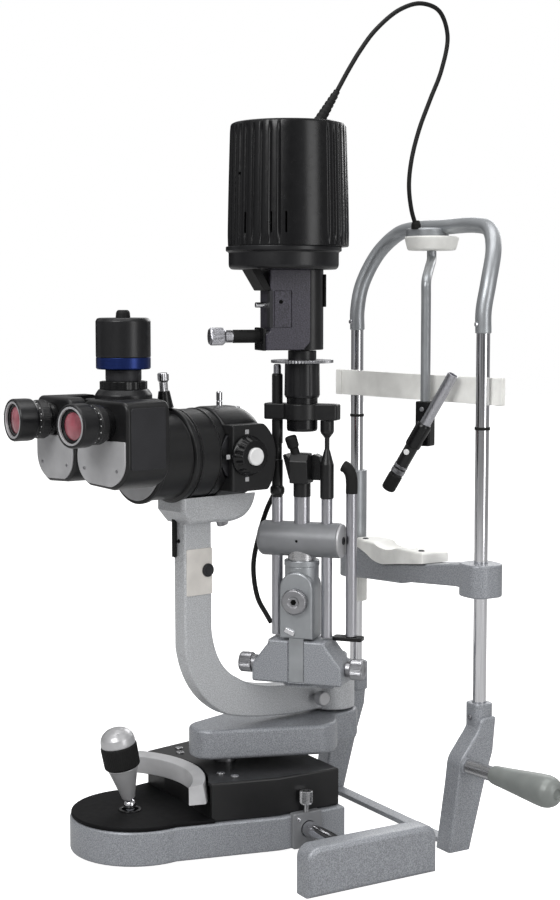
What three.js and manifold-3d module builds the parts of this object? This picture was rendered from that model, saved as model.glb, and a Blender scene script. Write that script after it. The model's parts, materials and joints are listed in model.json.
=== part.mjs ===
// Slit lamp: headrest, cross-slide base, binocular microscope and illumination tower.
// Millimetres. +Z up, +Y from the operator to the patient, +X to the operator's right.
// The origin is the centre of the tie bar's underside, which rests on the table.
import * as THREE from "three";
import { mergeVertices } from "three/addons/utils/BufferGeometryUtils.js";
import Module from "manifold-3d";

const wasm = await Module();
wasm.setup();

// Driving dimensions
const GAP = 0.3;
const COLUMN_X = 112.5;
const COLUMN_Y = 30;
const COLUMN_R = 6.75;
const BRACKET_TOP = 144;
const LEG_X = 104;
const BOW_R = 8;
const BOW_START = 514;
const BOW_TOP = 631;
const BOW_LEAN = 34;
const BAND_Z = 456.5;
const BAND_H = 27;
const CHIN_Z = 252;
const AXLE_Y = -133;
const AXLE_Z = 23;
const AXLE_R = 8;
const RAIL_X = 152.5;
const RAIL_REAR = -59;
const RAIL_FRONT = -204;
const RAIL_H = 47;
const BASE_X = -44;
const BASE_FRONT_Y = -276;
const BASE_FRONT_R = 67;
const BASE_SIDE = 90;
const BASE_REAR_Y = -88;
const LUG_X = 89.8;
const BAND_LOW = 4;
const BAND_HIGH = 38;
const COVER_TOP = 77;
const TRIM_LOW = 58;
const AXIS_X = -44;
const AXIS_Y = -46;
const GUIDE_Y = -176;
const GUIDE_TOP = 105;
const CARRIAGE_Z = 84;
const CARRIAGE_TOP = 115;
const SCOPE_TURN = 9;
const TOWER_TURN = 40;
const TOWER_OUT = 101;
const OPTIC_Z = 397;
const MAG_OUT = 155;
const EYE_Z = 435;
const EYE_X = 45.3;
const EYE_Y = -317.4;
const PRISM_Y = -318;
const PRISM_TURN = 4;
const PIVOT_X = 18;
const PUPIL_TURN = 8.2;
const EYE_TURN = 6.5;
const HEAD_TURN = 75;
const LAMP_OFF = -14.3;
const SOCKET_OFF = -19;
const LAMP_R = 60;
const LAMP_TOP = 717.5;
const CORD_R = 2.3;
const JOY_Y = -285;
const JOY_Z = 47;
const JOY_LEAN = 11;
const GRIP_TURN = 7;
const GRIP_Y = 3;
const GRIP_Z = 86;
const HUB_X = -12;
const HUB_Y = 57;
const HUB_Z = 599;
const CRANK_X = 46;
const CRANK_Y = -40;
const CLAMP_Z = 397.5;
const CLAMP_TURN = 30;
const LIGHT_TILT = 31;

const rad = THREE.MathUtils.degToRad;
const vec = (x, y, z) => new THREE.Vector3(x, y, z);
const around = (n, f) => Array.from({ length: n }, (_, i) => f((2 * Math.PI * i) / n));

// Solids: closed geometry in and out of the boolean library
function solid(geometry) {
  const bare = geometry.index ? geometry.toNonIndexed() : geometry.clone();
  bare.deleteAttribute("normal");
  bare.deleteAttribute("uv");
  const merged = mergeVertices(bare, 1e-4);
  return new wasm.Manifold(
    new wasm.Mesh({
      numProp: 3,
      vertProperties: merged.attributes.position.array,
      triVerts: new Uint32Array(merged.index.array),
    }),
  );
}

function shell(body) {
  const mesh = body.getMesh();
  const geometry = new THREE.BufferGeometry();
  geometry.setAttribute("position", new THREE.BufferAttribute(mesh.vertProperties, 3));
  geometry.setIndex(new THREE.BufferAttribute(mesh.triVerts, 1));
  return geometry;
}

const join = (...parts) => shell(parts.map(solid).reduce((a, b) => a.add(b)));
const cut = (part, ...tools) => shell(tools.map(solid).reduce((a, b) => a.subtract(b), solid(part)));

// Primitives: a bar stands on z = 0 unless it is laid along X or Y
function bar(r, h, n = 16, top = r) {
  return new THREE.CylinderGeometry(top, r, h, n).rotateX(rad(90)).translate(0, 0, h / 2);
}
const barX = (r, h, n = 16, top = r) => bar(r, h, n, top).rotateY(rad(90));
const barOut = (r, h, n = 16, top = r) => bar(r, h, n, top).rotateX(rad(90));
const box = (x0, x1, y0, y1, z0, z1) =>
  new THREE.BoxGeometry(x1 - x0, y1 - y0, z1 - z0).translate((x0 + x1) / 2, (y0 + y1) / 2, (z0 + z1) / 2);

function lathe(profile, n = 16) {
  const points = profile.map(([r, z]) => new THREE.Vector2(r, z));
  return new THREE.LatheGeometry(points, n).rotateX(rad(90));
}

function outline(points) {
  const shape = new THREE.Shape();
  points.forEach(([x, y], i) => (i ? shape.lineTo(x, y) : shape.moveTo(x, y)));
  return shape;
}

// A slab of an XY outline from z0 to z1
function slab(shape, z0, z1, bevel = 0) {
  return new THREE.ExtrudeGeometry(shape, {
    depth: z1 - z0 - 2 * bevel,
    bevelEnabled: bevel > 0,
    bevelThickness: bevel,
    bevelSize: bevel,
    bevelOffset: -bevel,
    bevelSegments: 1,
    curveSegments: 5,
  }).translate(0, 0, z0 + bevel);
}

// A slab of a (y, z) outline laid across X from x0 to x1
const slabX = (shape, x0, x1, bevel = 0) => slab(shape, x0, x1, bevel).rotateZ(rad(90)).rotateY(rad(90));

// A slab of an (x, z) outline laid along Y from y0 to y1
const slabY = (shape, y0, y1, bevel = 0) => slab(shape, -y1, -y0, bevel).rotateX(rad(90));

function rounded(x0, x1, y0, y1, r) {
  const s = new THREE.Shape();
  s.moveTo(x0 + r, y0);
  s.lineTo(x1 - r, y0);
  s.absarc(x1 - r, y0 + r, r, -Math.PI / 2, 0, false);
  s.lineTo(x1, y1 - r);
  s.absarc(x1 - r, y1 - r, r, 0, Math.PI / 2, false);
  s.lineTo(x0 + r, y1);
  s.absarc(x0 + r, y1 - r, r, Math.PI / 2, Math.PI, false);
  s.lineTo(x0, y0 + r);
  s.absarc(x0 + r, y0 + r, r, Math.PI, 1.5 * Math.PI, false);
  return s;
}

// A round tube along a curve
function pipe(curve, r, steps, n = 10) {
  const ring = outline(around(n, (a) => [r * Math.cos(a), r * Math.sin(a)]));
  return new THREE.ExtrudeGeometry(ring, { steps, bevelEnabled: false, extrudePath: curve });
}

const looks = {
  hammertone: [0x8f9499, 0.45, 0.5],
  darkHammertone: [0x3a3843, 0.5, 0.4],
  black: [0x17171a, 0.4, 0.2],
  chrome: [0xd8d8dc, 0.15, 1],
  steel: [0xb4b5b8, 0.35, 0.9],
  paint: [0xc3c6ca, 0.4, 0.3],
  white: [0xeeece4, 0.5, 0],
  rubber: [0x131314, 0.8, 0],
  grip: [0x8c918c, 0.6, 0],
};

const slitLamp = new THREE.Group();

function place(group, name, look, geometry) {
  const [color, roughness, metalness] = looks[look];
  const mesh = new THREE.Mesh(geometry, new THREE.MeshStandardMaterial({ color, roughness, metalness }));
  mesh.name = name;
  group.add(mesh);
}

function frameAt(parent, x, y, z, turn = 0) {
  const group = new THREE.Group();
  group.position.set(x, y, z);
  group.rotation.z = rad(turn);
  parent.add(group);
  return group;
}

// Headrest: brackets, columns, bow, forehead band and hand grips
function bracket(side) {
  const sleeve = bar(10.5, 24).translate(COLUMN_X, COLUMN_Y, BRACKET_TOP - 24);
  const plate = outline([
    [-17, 0],
    [9, 0],
    [27, 66],
    [37, 96],
    [40, 128],
    [24, 128],
    [19, 120],
    [-4, 91],
    [-7, 66],
  ]);
  const leg = slabX(plate, LEG_X, LEG_X + 23.5);
  const bore = bar(COLUMN_R + GAP, 30).translate(COLUMN_X, COLUMN_Y, BRACKET_TOP - 20);
  const geometry = cut(join(sleeve, leg), bore);
  return side > 0 ? geometry : mirror(geometry);
}

function mirror(geometry) {
  const flipped = geometry.clone().scale(-1, 1, 1);
  const index = flipped.index.array;
  for (let i = 0; i < index.length; i += 3) [index[i + 1], index[i + 2]] = [index[i + 2], index[i + 1]];
  return flipped;
}

function bowCurve() {
  const top = vec(0, COLUMN_Y + BOW_LEAN, BOW_TOP - BOW_R);
  const half = [
    vec(COLUMN_X, COLUMN_Y, BOW_START),
    vec(COLUMN_X, COLUMN_Y, BOW_START + 22),
    vec(COLUMN_X - 0.5, COLUMN_Y + 6, BOW_START + 50),
    vec(COLUMN_X - 11, COLUMN_Y + 20, BOW_START + 84),
    vec(COLUMN_X - 32, COLUMN_Y + 31, BOW_START + 104),
    vec(COLUMN_X - 58, top.y, top.z),
  ];
  const far = half.map((p) => vec(-p.x, p.y, p.z)).reverse();
  return new THREE.CatmullRomCurve3([...half, top, ...far], false, "centripetal");
}

function bow() {
  const bores = [-1, 1].map((s) => bar(COLUMN_R + GAP, 17, 16).translate(s * COLUMN_X, COLUMN_Y, BOW_START - 1));
  return cut(pipe(bowCurve(), BOW_R, 28, 10), ...bores);
}

// The band passes before the left column and behind the right one
function foreheadBand() {
  const half = 1.2;
  const slope = (COLUMN_R + half + 0.75) / COLUMN_X;
  const strap = box(-136, 136, -half, half, BAND_Z - BAND_H / 2, BAND_Z + BAND_H / 2);
  return strap.rotateZ(Math.atan(slope)).translate(-2, COLUMN_Y - 2 * slope, 0);
}

function handGrip(side) {
  const profile = [
    [0, 0],
    [7, 0],
    [7, 36],
    [8.5, 38],
    [9, 40],
    [12, 72],
    [15, 104],
    [15.5, 112],
    [13, 121],
    [6, 127],
    [0, 127],
  ];
  const grip = lathe(profile, 20).rotateY(rad(90)).rotateZ(rad(GRIP_TURN));
  grip.translate(LEG_X + 24.7, GRIP_Y, GRIP_Z);
  return side > 0 ? grip : mirror(grip);
}

function headrest() {
  place(slitLamp, "tie_bar", "hammertone", box(1 - LEG_X, LEG_X - 1, -7, 7, 0, 5));
  for (const [word, side] of [
    ["right", 1],
    ["left", -1],
  ]) {
    place(slitLamp, "bracket_" + word, "hammertone", bracket(side));
    const column = bar(COLUMN_R, BOW_START + 15 - 125).translate(side * COLUMN_X, COLUMN_Y, 125);
    place(slitLamp, "column_" + word, "chrome", column);
    place(slitLamp, "hand_grip_" + word, "grip", handGrip(side));
  }
  place(slitLamp, "bow_tube", "paint", bow());
  place(slitLamp, "forehead_band", "white", foreheadBand());
  const hub = join(
    bar(22.5, 10, 28).translate(HUB_X - 4, HUB_Y - 3, HUB_Z + 13),
    bar(25.5, 14.5, 28, 28.5).translate(HUB_X, HUB_Y, HUB_Z),
  );
  const clear = pipe(bowCurve(), BOW_R + GAP, 28, 10);
  place(slitLamp, "bow_hub", "white", cut(hub, clear));
}

// Rails: hooded tracks that stand on the table, each with a row of teeth for the axle's wheel
function rail(side) {
  const profile = rounded(RAIL_FRONT, RAIL_REAR, -12, RAIL_H, 11);
  const outer = solid(slabX(profile, RAIL_X - 12.5, RAIL_X + 12.5, 2));
  const below = solid(box(100, 200, RAIL_FRONT - 5, RAIL_REAR + 5, -20, 0));
  const hollow = solid(box(RAIL_X - 20, RAIL_X + 9.5, RAIL_FRONT + 5, RAIL_REAR - 5, -5, RAIL_H - 5));
  const geometry = shell(outer.subtract(below).subtract(hollow).add(rack()));
  return side > 0 ? geometry : mirror(geometry);
}

function rack() {
  const points = [];
  const pitch = 5;
  const front = RAIL_FRONT + 8;
  const count = Math.floor((RAIL_REAR - 8 - front) / pitch);
  for (let i = 0; i < count; i++) {
    points.push([front + i * pitch, 7], [front + (i + 0.5) * pitch, 9]);
  }
  points.push([front + count * pitch, 7], [front + count * pitch, 0], [front, 0]);
  return solid(slabX(outline(points), RAIL_X - 11, RAIL_X + 10));
}

function rails() {
  for (const [word, side] of [
    ["right", 1],
    ["left", -1],
  ]) {
    place(slitLamp, "rail_" + word, "hammertone", rail(side));
    const wheel = lathe([
      [AXLE_R + 0.4, -8],
      [13, -8],
      [13, 7],
      [AXLE_R + 0.4, 7],
      [AXLE_R + 0.4, -8],
    ]).rotateY(rad(90));
    place(slitLamp, "axle_wheel_" + word, "steel", wheel.translate(side * (RAIL_X - 2), AXLE_Y, AXLE_Z));
  }
  const length = 2 * (RAIL_X + 7);
  place(slitLamp, "axle", "chrome", barX(AXLE_R, length).translate(-length / 2, AXLE_Y, AXLE_Z));
}

// Chin rest on the columns: its arm falls towards the left, and the cup on it is level
function chinArm() {
  const side = new THREE.Shape();
  side.moveTo(116, CHIN_Z + 8);
  side.lineTo(116, CHIN_Z + 33);
  side.lineTo(95, CHIN_Z + 31);
  side.lineTo(0, CHIN_Z + 18);
  side.lineTo(-29, CHIN_Z + 14);
  side.quadraticCurveTo(-44, CHIN_Z + 14, -58, CHIN_Z + 20);
  side.quadraticCurveTo(-72, CHIN_Z + 24, -86, CHIN_Z + 24);
  side.lineTo(-112, CHIN_Z + 24);
  side.lineTo(-112, CHIN_Z - 11);
  side.lineTo(-76, CHIN_Z - 8);
  side.lineTo(-1, CHIN_Z - 3);
  side.lineTo(-1, CHIN_Z - 1);
  side.lineTo(92, CHIN_Z + 8);
  const clamp = bar(20, 33).translate(COLUMN_X, COLUMN_Y, CHIN_Z);
  const boss = bar(18, 35).translate(-COLUMN_X, COLUMN_Y, CHIN_Z - 11);
  const sleeve = bar(10.5, 85).translate(-COLUMN_X, COLUMN_Y, CHIN_Z + 22);
  const bores = [-1, 1].map((s) => bar(COLUMN_R + GAP, 140).translate(s * COLUMN_X, COLUMN_Y, CHIN_Z - 20));
  return cut(join(clamp, slabY(side, 12, 42, 2), boss, sleeve), ...bores);
}

function chinCup() {
  const under = GAP + 14;
  const side = new THREE.Shape();
  side.moveTo(43, CHIN_Z + 35);
  side.lineTo(43, CHIN_Z + 24.3);
  side.lineTo(0, CHIN_Z + under + 4.1);
  side.lineTo(-28, CHIN_Z + under);
  side.quadraticCurveTo(-44, CHIN_Z + under, -58, CHIN_Z + under + 6);
  side.quadraticCurveTo(-72, CHIN_Z + under + 10, -86, CHIN_Z + under + 10.2);
  side.lineTo(-91, CHIN_Z + under + 10.2);
  side.lineTo(-91, CHIN_Z + 35);
  const plan = new THREE.Shape();
  plan.moveTo(43, 8);
  plan.lineTo(43, 42);
  plan.quadraticCurveTo(10, 42, -4, 38);
  plan.quadraticCurveTo(-26, 54, -48, 40);
  plan.quadraticCurveTo(-74, 46, -91, 40);
  plan.lineTo(-91, 16);
  plan.quadraticCurveTo(-60, 4, -20, 8);
  const body = solid(slabY(side, 0, 60)).intersect(solid(slab(plan, CHIN_Z, CHIN_Z + 40)));
  const bowl = new THREE.SphereGeometry(60, 20, 12).rotateX(rad(90)).translate(-25, 32, CHIN_Z + 85.5);
  const pins = [-76, 28].map((x) => bar(2.5, 5, 12).translate(x, 18, CHIN_Z + 31));
  return join(shell(body.subtract(solid(bowl))), ...pins);
}

function chinRest() {
  place(slitLamp, "chin_rest_arm", "hammertone", chinArm());
  place(slitLamp, "chin_cup", "white", chinCup());
  const nutTop = CHIN_Z - 11 - GAP;
  const nut = bar(12, 28).translate(-COLUMN_X, COLUMN_Y, nutTop - 28);
  const bore = bar(COLUMN_R + GAP, 40).translate(-COLUMN_X, COLUMN_Y, nutTop - 34);
  place(slitLamp, "chin_height_nut", "white", cut(nut, bore));
}

// Fixation lamp: a cranked rod from the bow hub, a swivel clamp and the lamp tube
function fixationLamp() {
  const top = HUB_Z - GAP;
  const drop = top - CLAMP_Z - 40;
  const rod = new THREE.CatmullRomCurve3(
    [
      vec(0, 0, 0),
      vec(0, 0, -8),
      vec(CRANK_X * 0.5, CRANK_Y * 0.5, -20),
      vec(CRANK_X, CRANK_Y, -34),
      vec(CRANK_X, CRANK_Y, -50),
      vec(CRANK_X, CRANK_Y, -drop),
    ],
    false,
    "centripetal",
  );
  const root = frameAt(slitLamp, HUB_X, HUB_Y, top);
  place(root, "fixation_rod", "steel", pipe(rod, 5, 20, 10));

  const clampAt = frameAt(slitLamp, HUB_X + CRANK_X, HUB_Y + CRANK_Y, CLAMP_Z, CLAMP_TURN);
  const seat = bar(5 + GAP, 20, 16).translate(0, 0, 34);
  const socket = barOut(3 + GAP, 16, 12).translate(0, 6, 12);
  place(clampAt, "fixation_clamp", "black", cut(box(-8, 8, -8, 8, 0, 46), seat, socket));
  const lampTube = lathe(
    [
      [0, -67],
      [6.5, -67],
      [7.3, -64],
      [7.3, -48],
      [6.8, -47],
      [6.8, -14],
      [7.5, -13],
      [7.5, 14],
      [5.5, 16],
      [5.5, 73],
      [0, 73],
    ],
    20,
  );
  const pivot = barOut(3, 19, 12).translate(0, 4, 12);
  const tube = lampTube.rotateY(rad(LIGHT_TILT)).translate(0, -16, 12);
  place(clampAt, "fixation_lamp", "black", join(tube, pivot));
}

// Base: a wedge-shaped casting that slides along the axle
function wedge(grow) {
  const s = new THREE.Shape();
  const r = BASE_FRONT_R + grow;
  const lean = rad(9);
  s.moveTo(-BASE_SIDE - grow, BASE_REAR_Y - grow);
  s.lineTo(-BASE_SIDE - grow, AXLE_Y - 30);
  s.lineTo(-r * Math.cos(lean), BASE_FRONT_Y + r * Math.sin(lean));
  s.absarc(0, BASE_FRONT_Y, r, Math.PI - lean, 2 * Math.PI + lean, false);
  s.lineTo(BASE_SIDE + grow, AXLE_Y - 30);
  s.lineTo(BASE_SIDE + grow, BASE_REAR_Y - grow);
  return s;
}

// The low front wall of the rear cover, under the trim
function sill() {
  const wall = solid(bar(114, 20, 32).translate(0, -322, BAND_HIGH + GAP)).intersect(solid(slab(wedge(-5), 0, 100)));
  return wall.subtract(solid(box(-120, 120, -400, -240, 0, 100)));
}

function base() {
  const at = frameAt(slitLamp, BASE_X, 0, 0);
  const lug = rounded(AXLE_Y - 18, AXLE_Y + 16, BAND_LOW, BAND_HIGH + 2, 3);
  const bore = barX(AXLE_R + GAP, 220).translate(-110, AXLE_Y, AXLE_Z);
  const wall = solid(slab(wedge(0), BAND_LOW, BAND_HIGH));
  const inner = solid(slab(wedge(-7), BAND_LOW - 1, BAND_HIGH - 4));
  const bars = [-1, 1].map((s) => slabX(lug, s * LUG_X - 4.2, s * LUG_X + 4.2));
  const column = bar(11, GUIDE_TOP - BAND_HIGH + 5).translate(0, GUIDE_Y, BAND_HIGH - 5);
  const webs = box(-88, 88, AXLE_Y - 14, AXLE_Y + 14, AXLE_Z - 13, AXLE_Z + 13);
  const full = [...bars, column, webs].map(solid).reduce((a, b) => a.add(b), wall.subtract(inner));
  place(at, "base_frame", "hammertone", shell(full.subtract(solid(bore))));

  const well = solid(bar(11 + GAP, 60).translate(0, GUIDE_Y, 30));
  const front = solid(slab(wedge(-1.5), BAND_HIGH + GAP, BAND_HIGH + 4));
  const rearOff = solid(box(-120, 120, -230, 0, 0, 100));
  const joyHole = solid(bar(9, 20).translate(2, JOY_Y, 30));
  place(at, "base_top_plate", "black", shell(front.subtract(rearOff).subtract(joyHole)));

  const arc = solid(bar(96, 60, 32).translate(0, -322, 30));
  const rear = solid(slab(wedge(-5), BAND_HIGH + GAP, COVER_TOP, 1.5));
  const ahead = solid(box(-120, 120, -400, -229.5, 0, 100));
  const cavity = solid(slab(wedge(-9), BAND_HIGH - 1, COVER_TOP - 4));
  const skin = rear.subtract(cavity);
  const trimZone = solid(bar(112, 60, 32).translate(0, -322, TRIM_LOW - GAP));
  const nose = solid(bar(99, 60, 32).translate(0, -322, 30));
  const hood = [ahead, nose, trimZone, well].reduce((a, b) => a.subtract(b), skin.add(sill()));
  place(at, "base_cover", "black", shell(hood));

  const trimOuter = solid(bar(111.5, 20, 32, 108.5).translate(0, -322, TRIM_LOW));
  const keep = solid(slab(wedge(-4), BAND_HIGH + 4 + GAP, COVER_TOP + 2));
  const joyWell = solid(box(-120, 120, -400, -262, 0, 100));
  const trim = trimOuter.intersect(keep).subtract(arc).subtract(joyWell);
  place(at, "base_trim", "paint", shell(trim));

  const screw = lathe([
    [0, 0],
    [2.5, 0],
    [2.5, 8],
    [6, 8],
    [6.5, 9],
    [6.5, 20],
    [5, 22],
    [0, 22],
  ]);
  place(at, "lock_screw", "steel", screw.translate(LUG_X + 2.5, AXLE_Y - 2, BAND_HIGH + 2 + GAP));
}

// Joystick on its ball, leaning towards the operator
function joystick() {
  const at = frameAt(slitLamp, BASE_X + 2, JOY_Y, JOY_Z);
  at.rotation.x = rad(JOY_LEAN);
  place(
    at,
    "joystick_ball",
    "chrome",
    lathe([
      [0, -6.2],
      [3.6, -5],
      [5.8, -2.2],
      [6.2, 0],
      [5.8, 2.2],
      [3.6, 5],
      [0, 6.2],
    ]),
  );
  place(
    at,
    "joystick_stem",
    "steel",
    lathe([
      [0, 6.8],
      [5, 6.8],
      [5.5, 10],
      [14.5, 38],
      [15.5, 40.5],
      [0, 40.5],
    ]),
  );
  place(
    at,
    "joystick_grip",
    "rubber",
    lathe([
      [0, 41],
      [17.5, 41],
      [18, 43],
      [18, 61],
      [16, 63],
      [15.5, 72],
      [12, 77],
      [6, 80],
      [0, 81],
    ]),
  );
}

// Carriage: carries both arms and lifts with the joystick
function carriage() {
  const s = new THREE.Shape();
  const nose = AXIS_Y - 168;
  s.moveTo(-58, AXIS_Y - 52);
  s.lineTo(-22, nose + 14);
  s.quadraticCurveTo(-16, nose, 0, nose);
  s.quadraticCurveTo(16, nose, 22, nose + 14);
  s.lineTo(58, AXIS_Y - 52);
  s.quadraticCurveTo(62, AXIS_Y - 26, 30, AXIS_Y - 14);
  s.lineTo(24, AXIS_Y + 16);
  s.absarc(0, AXIS_Y + 4, 24, rad(30), rad(150), false);
  s.lineTo(-30, AXIS_Y - 14);
  s.quadraticCurveTo(-62, AXIS_Y - 26, -58, AXIS_Y - 52);
  const body = slab(s, CARRIAGE_Z, CARRIAGE_TOP, 3);
  const pin = bar(9, 56).translate(0, AXIS_Y, CARRIAGE_TOP - 2);
  const well = bar(11 + GAP, GUIDE_TOP + 7 - CARRIAGE_Z + 2).translate(0, GUIDE_Y, CARRIAGE_Z - 2);
  place(frameAt(slitLamp, AXIS_X, 0, 0), "carriage", "hammertone", cut(join(body, pin), well));
}

// Microscope, built along -Y from the common vertical axis
function scopeArm() {
  const side = new THREE.Shape();
  side.moveTo(22, 118.6);
  side.lineTo(-52, 118.6);
  side.quadraticCurveTo(-120, 122, -150, 133);
  side.quadraticCurveTo(-192, 155, -200, 205);
  side.lineTo(-200.5, 334);
  side.lineTo(-167, 334);
  side.lineTo(-166.5, 222);
  side.quadraticCurveTo(-162, 182, -134, 168);
  side.quadraticCurveTo(-108, 151, -52, 151);
  side.lineTo(22, 151);
  const hub = bar(24, 34.4, 32).translate(0, 0, 117);
  const bore = bar(9 + GAP, 80).translate(0, 0, 100);
  return cut(join(slabX(side, -9, 9, 1.5), hub), bore);
}

function cradle() {
  const side = new THREE.Shape();
  side.moveTo(-212, 343);
  side.quadraticCurveTo(-206, 336, -200.5, 330);
  side.lineTo(-167, 330);
  side.quadraticCurveTo(-150, 328, -135, 334);
  side.quadraticCurveTo(-120, 342, -120, 362);
  side.lineTo(-212, 362);
  const body = slabX(side, -22, 22, 3);
  const barrel = barOut(46 + GAP, 110, 28).translate(0, -110, OPTIC_Z);
  const flat = box(-60, 60, -190, -100, 361, 480);
  return cut(body, barrel, flat);
}

function magHousing() {
  const round = barOut(46, 60, 28).translate(0, -128, OPTIC_Z);
  const nose = new THREE.SphereGeometry(60, 20, 10).scale(0.95, 0.72, 0.95).translate(0, -161, OPTIC_Z);
  const shape = solid(join(round, box(-50, 50, -187, -128, OPTIC_Z - 35, OPTIC_Z + 30)));
  const cap = solid(nose).intersect(solid(box(-50, 50, -162, -100, OPTIC_Z - 35, OPTIC_Z + 46)));
  const back = solid(box(-45.5, 45.5, -300, -172.6, 300, 500));
  const front = solid(box(-80, 80, -118, 0, 300, 500));
  const drumRoom = solid(barX(28, 88, 20).translate(-44, -MAG_OUT, OPTIC_Z));
  const rearWindow = solid(box(-34, 34, -180, -MAG_OUT, OPTIC_Z - 14, OPTIC_Z + 14));
  const window = solid(barOut(14, 60, 20).translate(0, -100, OPTIC_Z));
  const shaft = solid(barX(5 + GAP, 130, 16).translate(-65, -MAG_OUT, OPTIC_Z));
  const whole = shape.add(cap).subtract(back).subtract(front);
  return shell(whole.subtract(drumRoom).subtract(rearWindow).subtract(window).subtract(shaft));
}

function magDrum() {
  const core = barX(26, 84, 20).translate(-42, 0, 0);
  const windows = [0, 60, 120].map((a) =>
    barOut(10, 70, 10).translate(0, 35, 0).rotateX(rad(a)),
  );
  const shaft = barX(5, 58, 16);
  const dial = barX(24, 4, 32).translate(50.6, 0, 0);
  const knob = barX(18, 9, 28, 15).translate(54, 0, 0);
  const button = barX(8.5, 3, 20).translate(62, 0, 0);
  const drilled = windows.map(solid).reduce((a, b) => a.subtract(b), solid(core));
  return shell([shaft, dial, knob, button].map(solid).reduce((a, b) => a.add(b), drilled)).translate(
    0,
    -MAG_OUT,
    OPTIC_Z,
  );
}

function scopeTube() {
  const barrel = lathe(
    [
      [0, 172.9],
      [44.5, 172.9],
      [44.5, 207],
      [46, 208],
      [46, 212],
      [42, 213],
      [42, 246],
      [44.5, 247],
      [44.5, 250.5],
      [0, 250.5],
    ],
    28,
  )
    .rotateX(rad(90))
    .translate(0, 0, OPTIC_Z);
  const drumRoom = barX(28, 88, 20).translate(-44, -MAG_OUT, OPTIC_Z);
  return cut(barrel, drumRoom, barOut(16, 100, 16).translate(0, -165, OPTIC_Z));
}

function splitterBox() {
  const side = rounded(-35, 35, OPTIC_Z - 20, 452, 6);
  const body = slabY(side, -276, -250.9);
  const deck = slab(rounded(-28, 28, -294, -238, 10), 446, 454);
  const collar = lathe(
    [
      [0, 453],
      [27, 453],
      [27, 458],
      [24, 463],
      [22, 463],
      [22, 471],
      [17, 472],
      [17, 481.6],
      [0, 481.6],
    ],
    20,
  ).translate(0, -264, 0);
  return cut(join(body, deck, collar), box(-50, 50, -300, -276, 300, 445.5));
}

function splitterKnob() {
  return lathe([
    [0, 0],
    [8.5, 0],
    [5.5, 17],
    [4, 17],
    [4, 25],
    [5.5, 26],
    [5.5, 34],
    [0, 34],
  ])
    .rotateX(rad(4))
    .translate(0, -216, OPTIC_Z + 46.6);
}

function camera() {
  return lathe(
    [
      [0, 482],
      [25.5, 482],
      [26, 483],
      [26, 527],
      [24, 530],
      [7, 530.5],
      [6.5, 536],
      [5, 537.5],
      [0, 537.5],
    ],
    24,
  ).translate(0, -264, 0);
}

// A prism housing, turned outwards with its eyepiece
function prismHousing(side) {
  const shape = new THREE.Shape();
  shape.moveTo(9, 446);
  shape.lineTo(1, 404);
  shape.quadraticCurveTo(1, 384, 20, 377);
  shape.lineTo(54, 375);
  shape.quadraticCurveTo(77, 382, 77, 402);
  shape.lineTo(77, 446);
  shape.quadraticCurveTo(76, 456, 66, 456);
  shape.lineTo(20, 456);
  shape.quadraticCurveTo(10, 454, 9, 446);
  const body = slabY(shape, 0, 50, 2).translate(-1, 0, 0);
  body.rotateZ(rad(PRISM_TURN)).translate(1, PRISM_Y, 0);
  const inner = box(-20, 0.6, -400, -200, 300, 500);
  const swung = box(-40, 0.4, -400, -200, 200, 600).translate(-PIVOT_X, 0, -OPTIC_Z);
  swung.rotateY(rad(PUPIL_TURN)).translate(PIVOT_X, 0, OPTIC_Z);
  const splitterRoom = box(-10, 47, -276.5, -200, 300, 500);
  const deckRoom = box(-10, 42, -300, -260, 439, 500);
  const geometry = cut(body, inner, swung, splitterRoom, deckRoom);
  return side > 0 ? geometry : mirror(geometry);
}

function eyepiece(side) {
  const tube = lathe(
    [
      [0, 0],
      [15, 0],
      [15, 4],
      [18, 6],
      [18, 14],
      [17, 15],
      [17, 19],
      [19.5, 21],
      [20, 25],
      [20, 38],
      [18, 39],
      [15, 39],
      [12.5, 34],
      [0, 34],
    ],
    20,
  );
  const turned = tube.rotateX(rad(90)).rotateZ(rad(side * EYE_TURN));
  return turned.translate(side * EYE_X, EYE_Y, EYE_Z);
}

function microscope() {
  const at = frameAt(slitLamp, AXIS_X, AXIS_Y, 0, SCOPE_TURN);
  place(at, "scope_arm", "hammertone", join(scopeArm(), cradle()));
  place(at, "magnification_housing", "black", magHousing());
  place(at, "magnification_drum", "black", magDrum());
  place(at, "scope_tube", "black", scopeTube());
  place(at, "beam_splitter", "black", splitterBox());
  place(at, "splitter_knob", "chrome", splitterKnob());
  place(at, "camera_module", "black", camera());
  for (const [word, side] of [
    ["right", 1],
    ["left", -1],
  ]) {
    place(at, "prism_housing_" + word, "black", prismHousing(side));
    place(at, "eyepiece_" + word, "black", eyepiece(side));
  }
  const knob = lathe([
    [0, 0],
    [3, 0],
    [3, 6],
    [7.5, 7],
    [7.5, 15],
    [6, 16],
    [0, 16],
  ])
    .rotateY(rad(90))
    .translate(9.4, -32, 133);
  place(at, "scope_lock_knob", "steel", knob);
}

// Illumination arm and tower, built along -Y from the common vertical axis
function illuminationArm() {
  const plate = new THREE.Shape();
  plate.moveTo(-24, 0);
  plate.lineTo(-24, -84);
  plate.quadraticCurveTo(-22, -112, 0, -112);
  plate.quadraticCurveTo(22, -112, 24, -84);
  plate.lineTo(24, 0);
  plate.absarc(0, 0, 24, 0, Math.PI, false);
  const body = slab(plate, 152, 165, 1);
  const relief = box(-60, 60, -130, -70, 140, 161.5);
  const bore = bar(9 + GAP, 80).translate(0, 0, 100);
  return cut(join(body, bar(16, 14).translate(0, 0, 160)), relief, bore);
}

function towerFoot() {
  const front = outline([
    [-47, 166],
    [47, 166],
    [47, 184],
    [30, 206],
    [30, 210],
    [-30, 210],
    [-30, 206],
    [-47, 184],
  ]);
  const body = slabY(front, -TOWER_OUT - 19, -TOWER_OUT + 19, 2);
  const bore = barX(5 + GAP, 120, 16).translate(-60, -TOWER_OUT, 181);
  return cut(body, bore);
}

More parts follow.
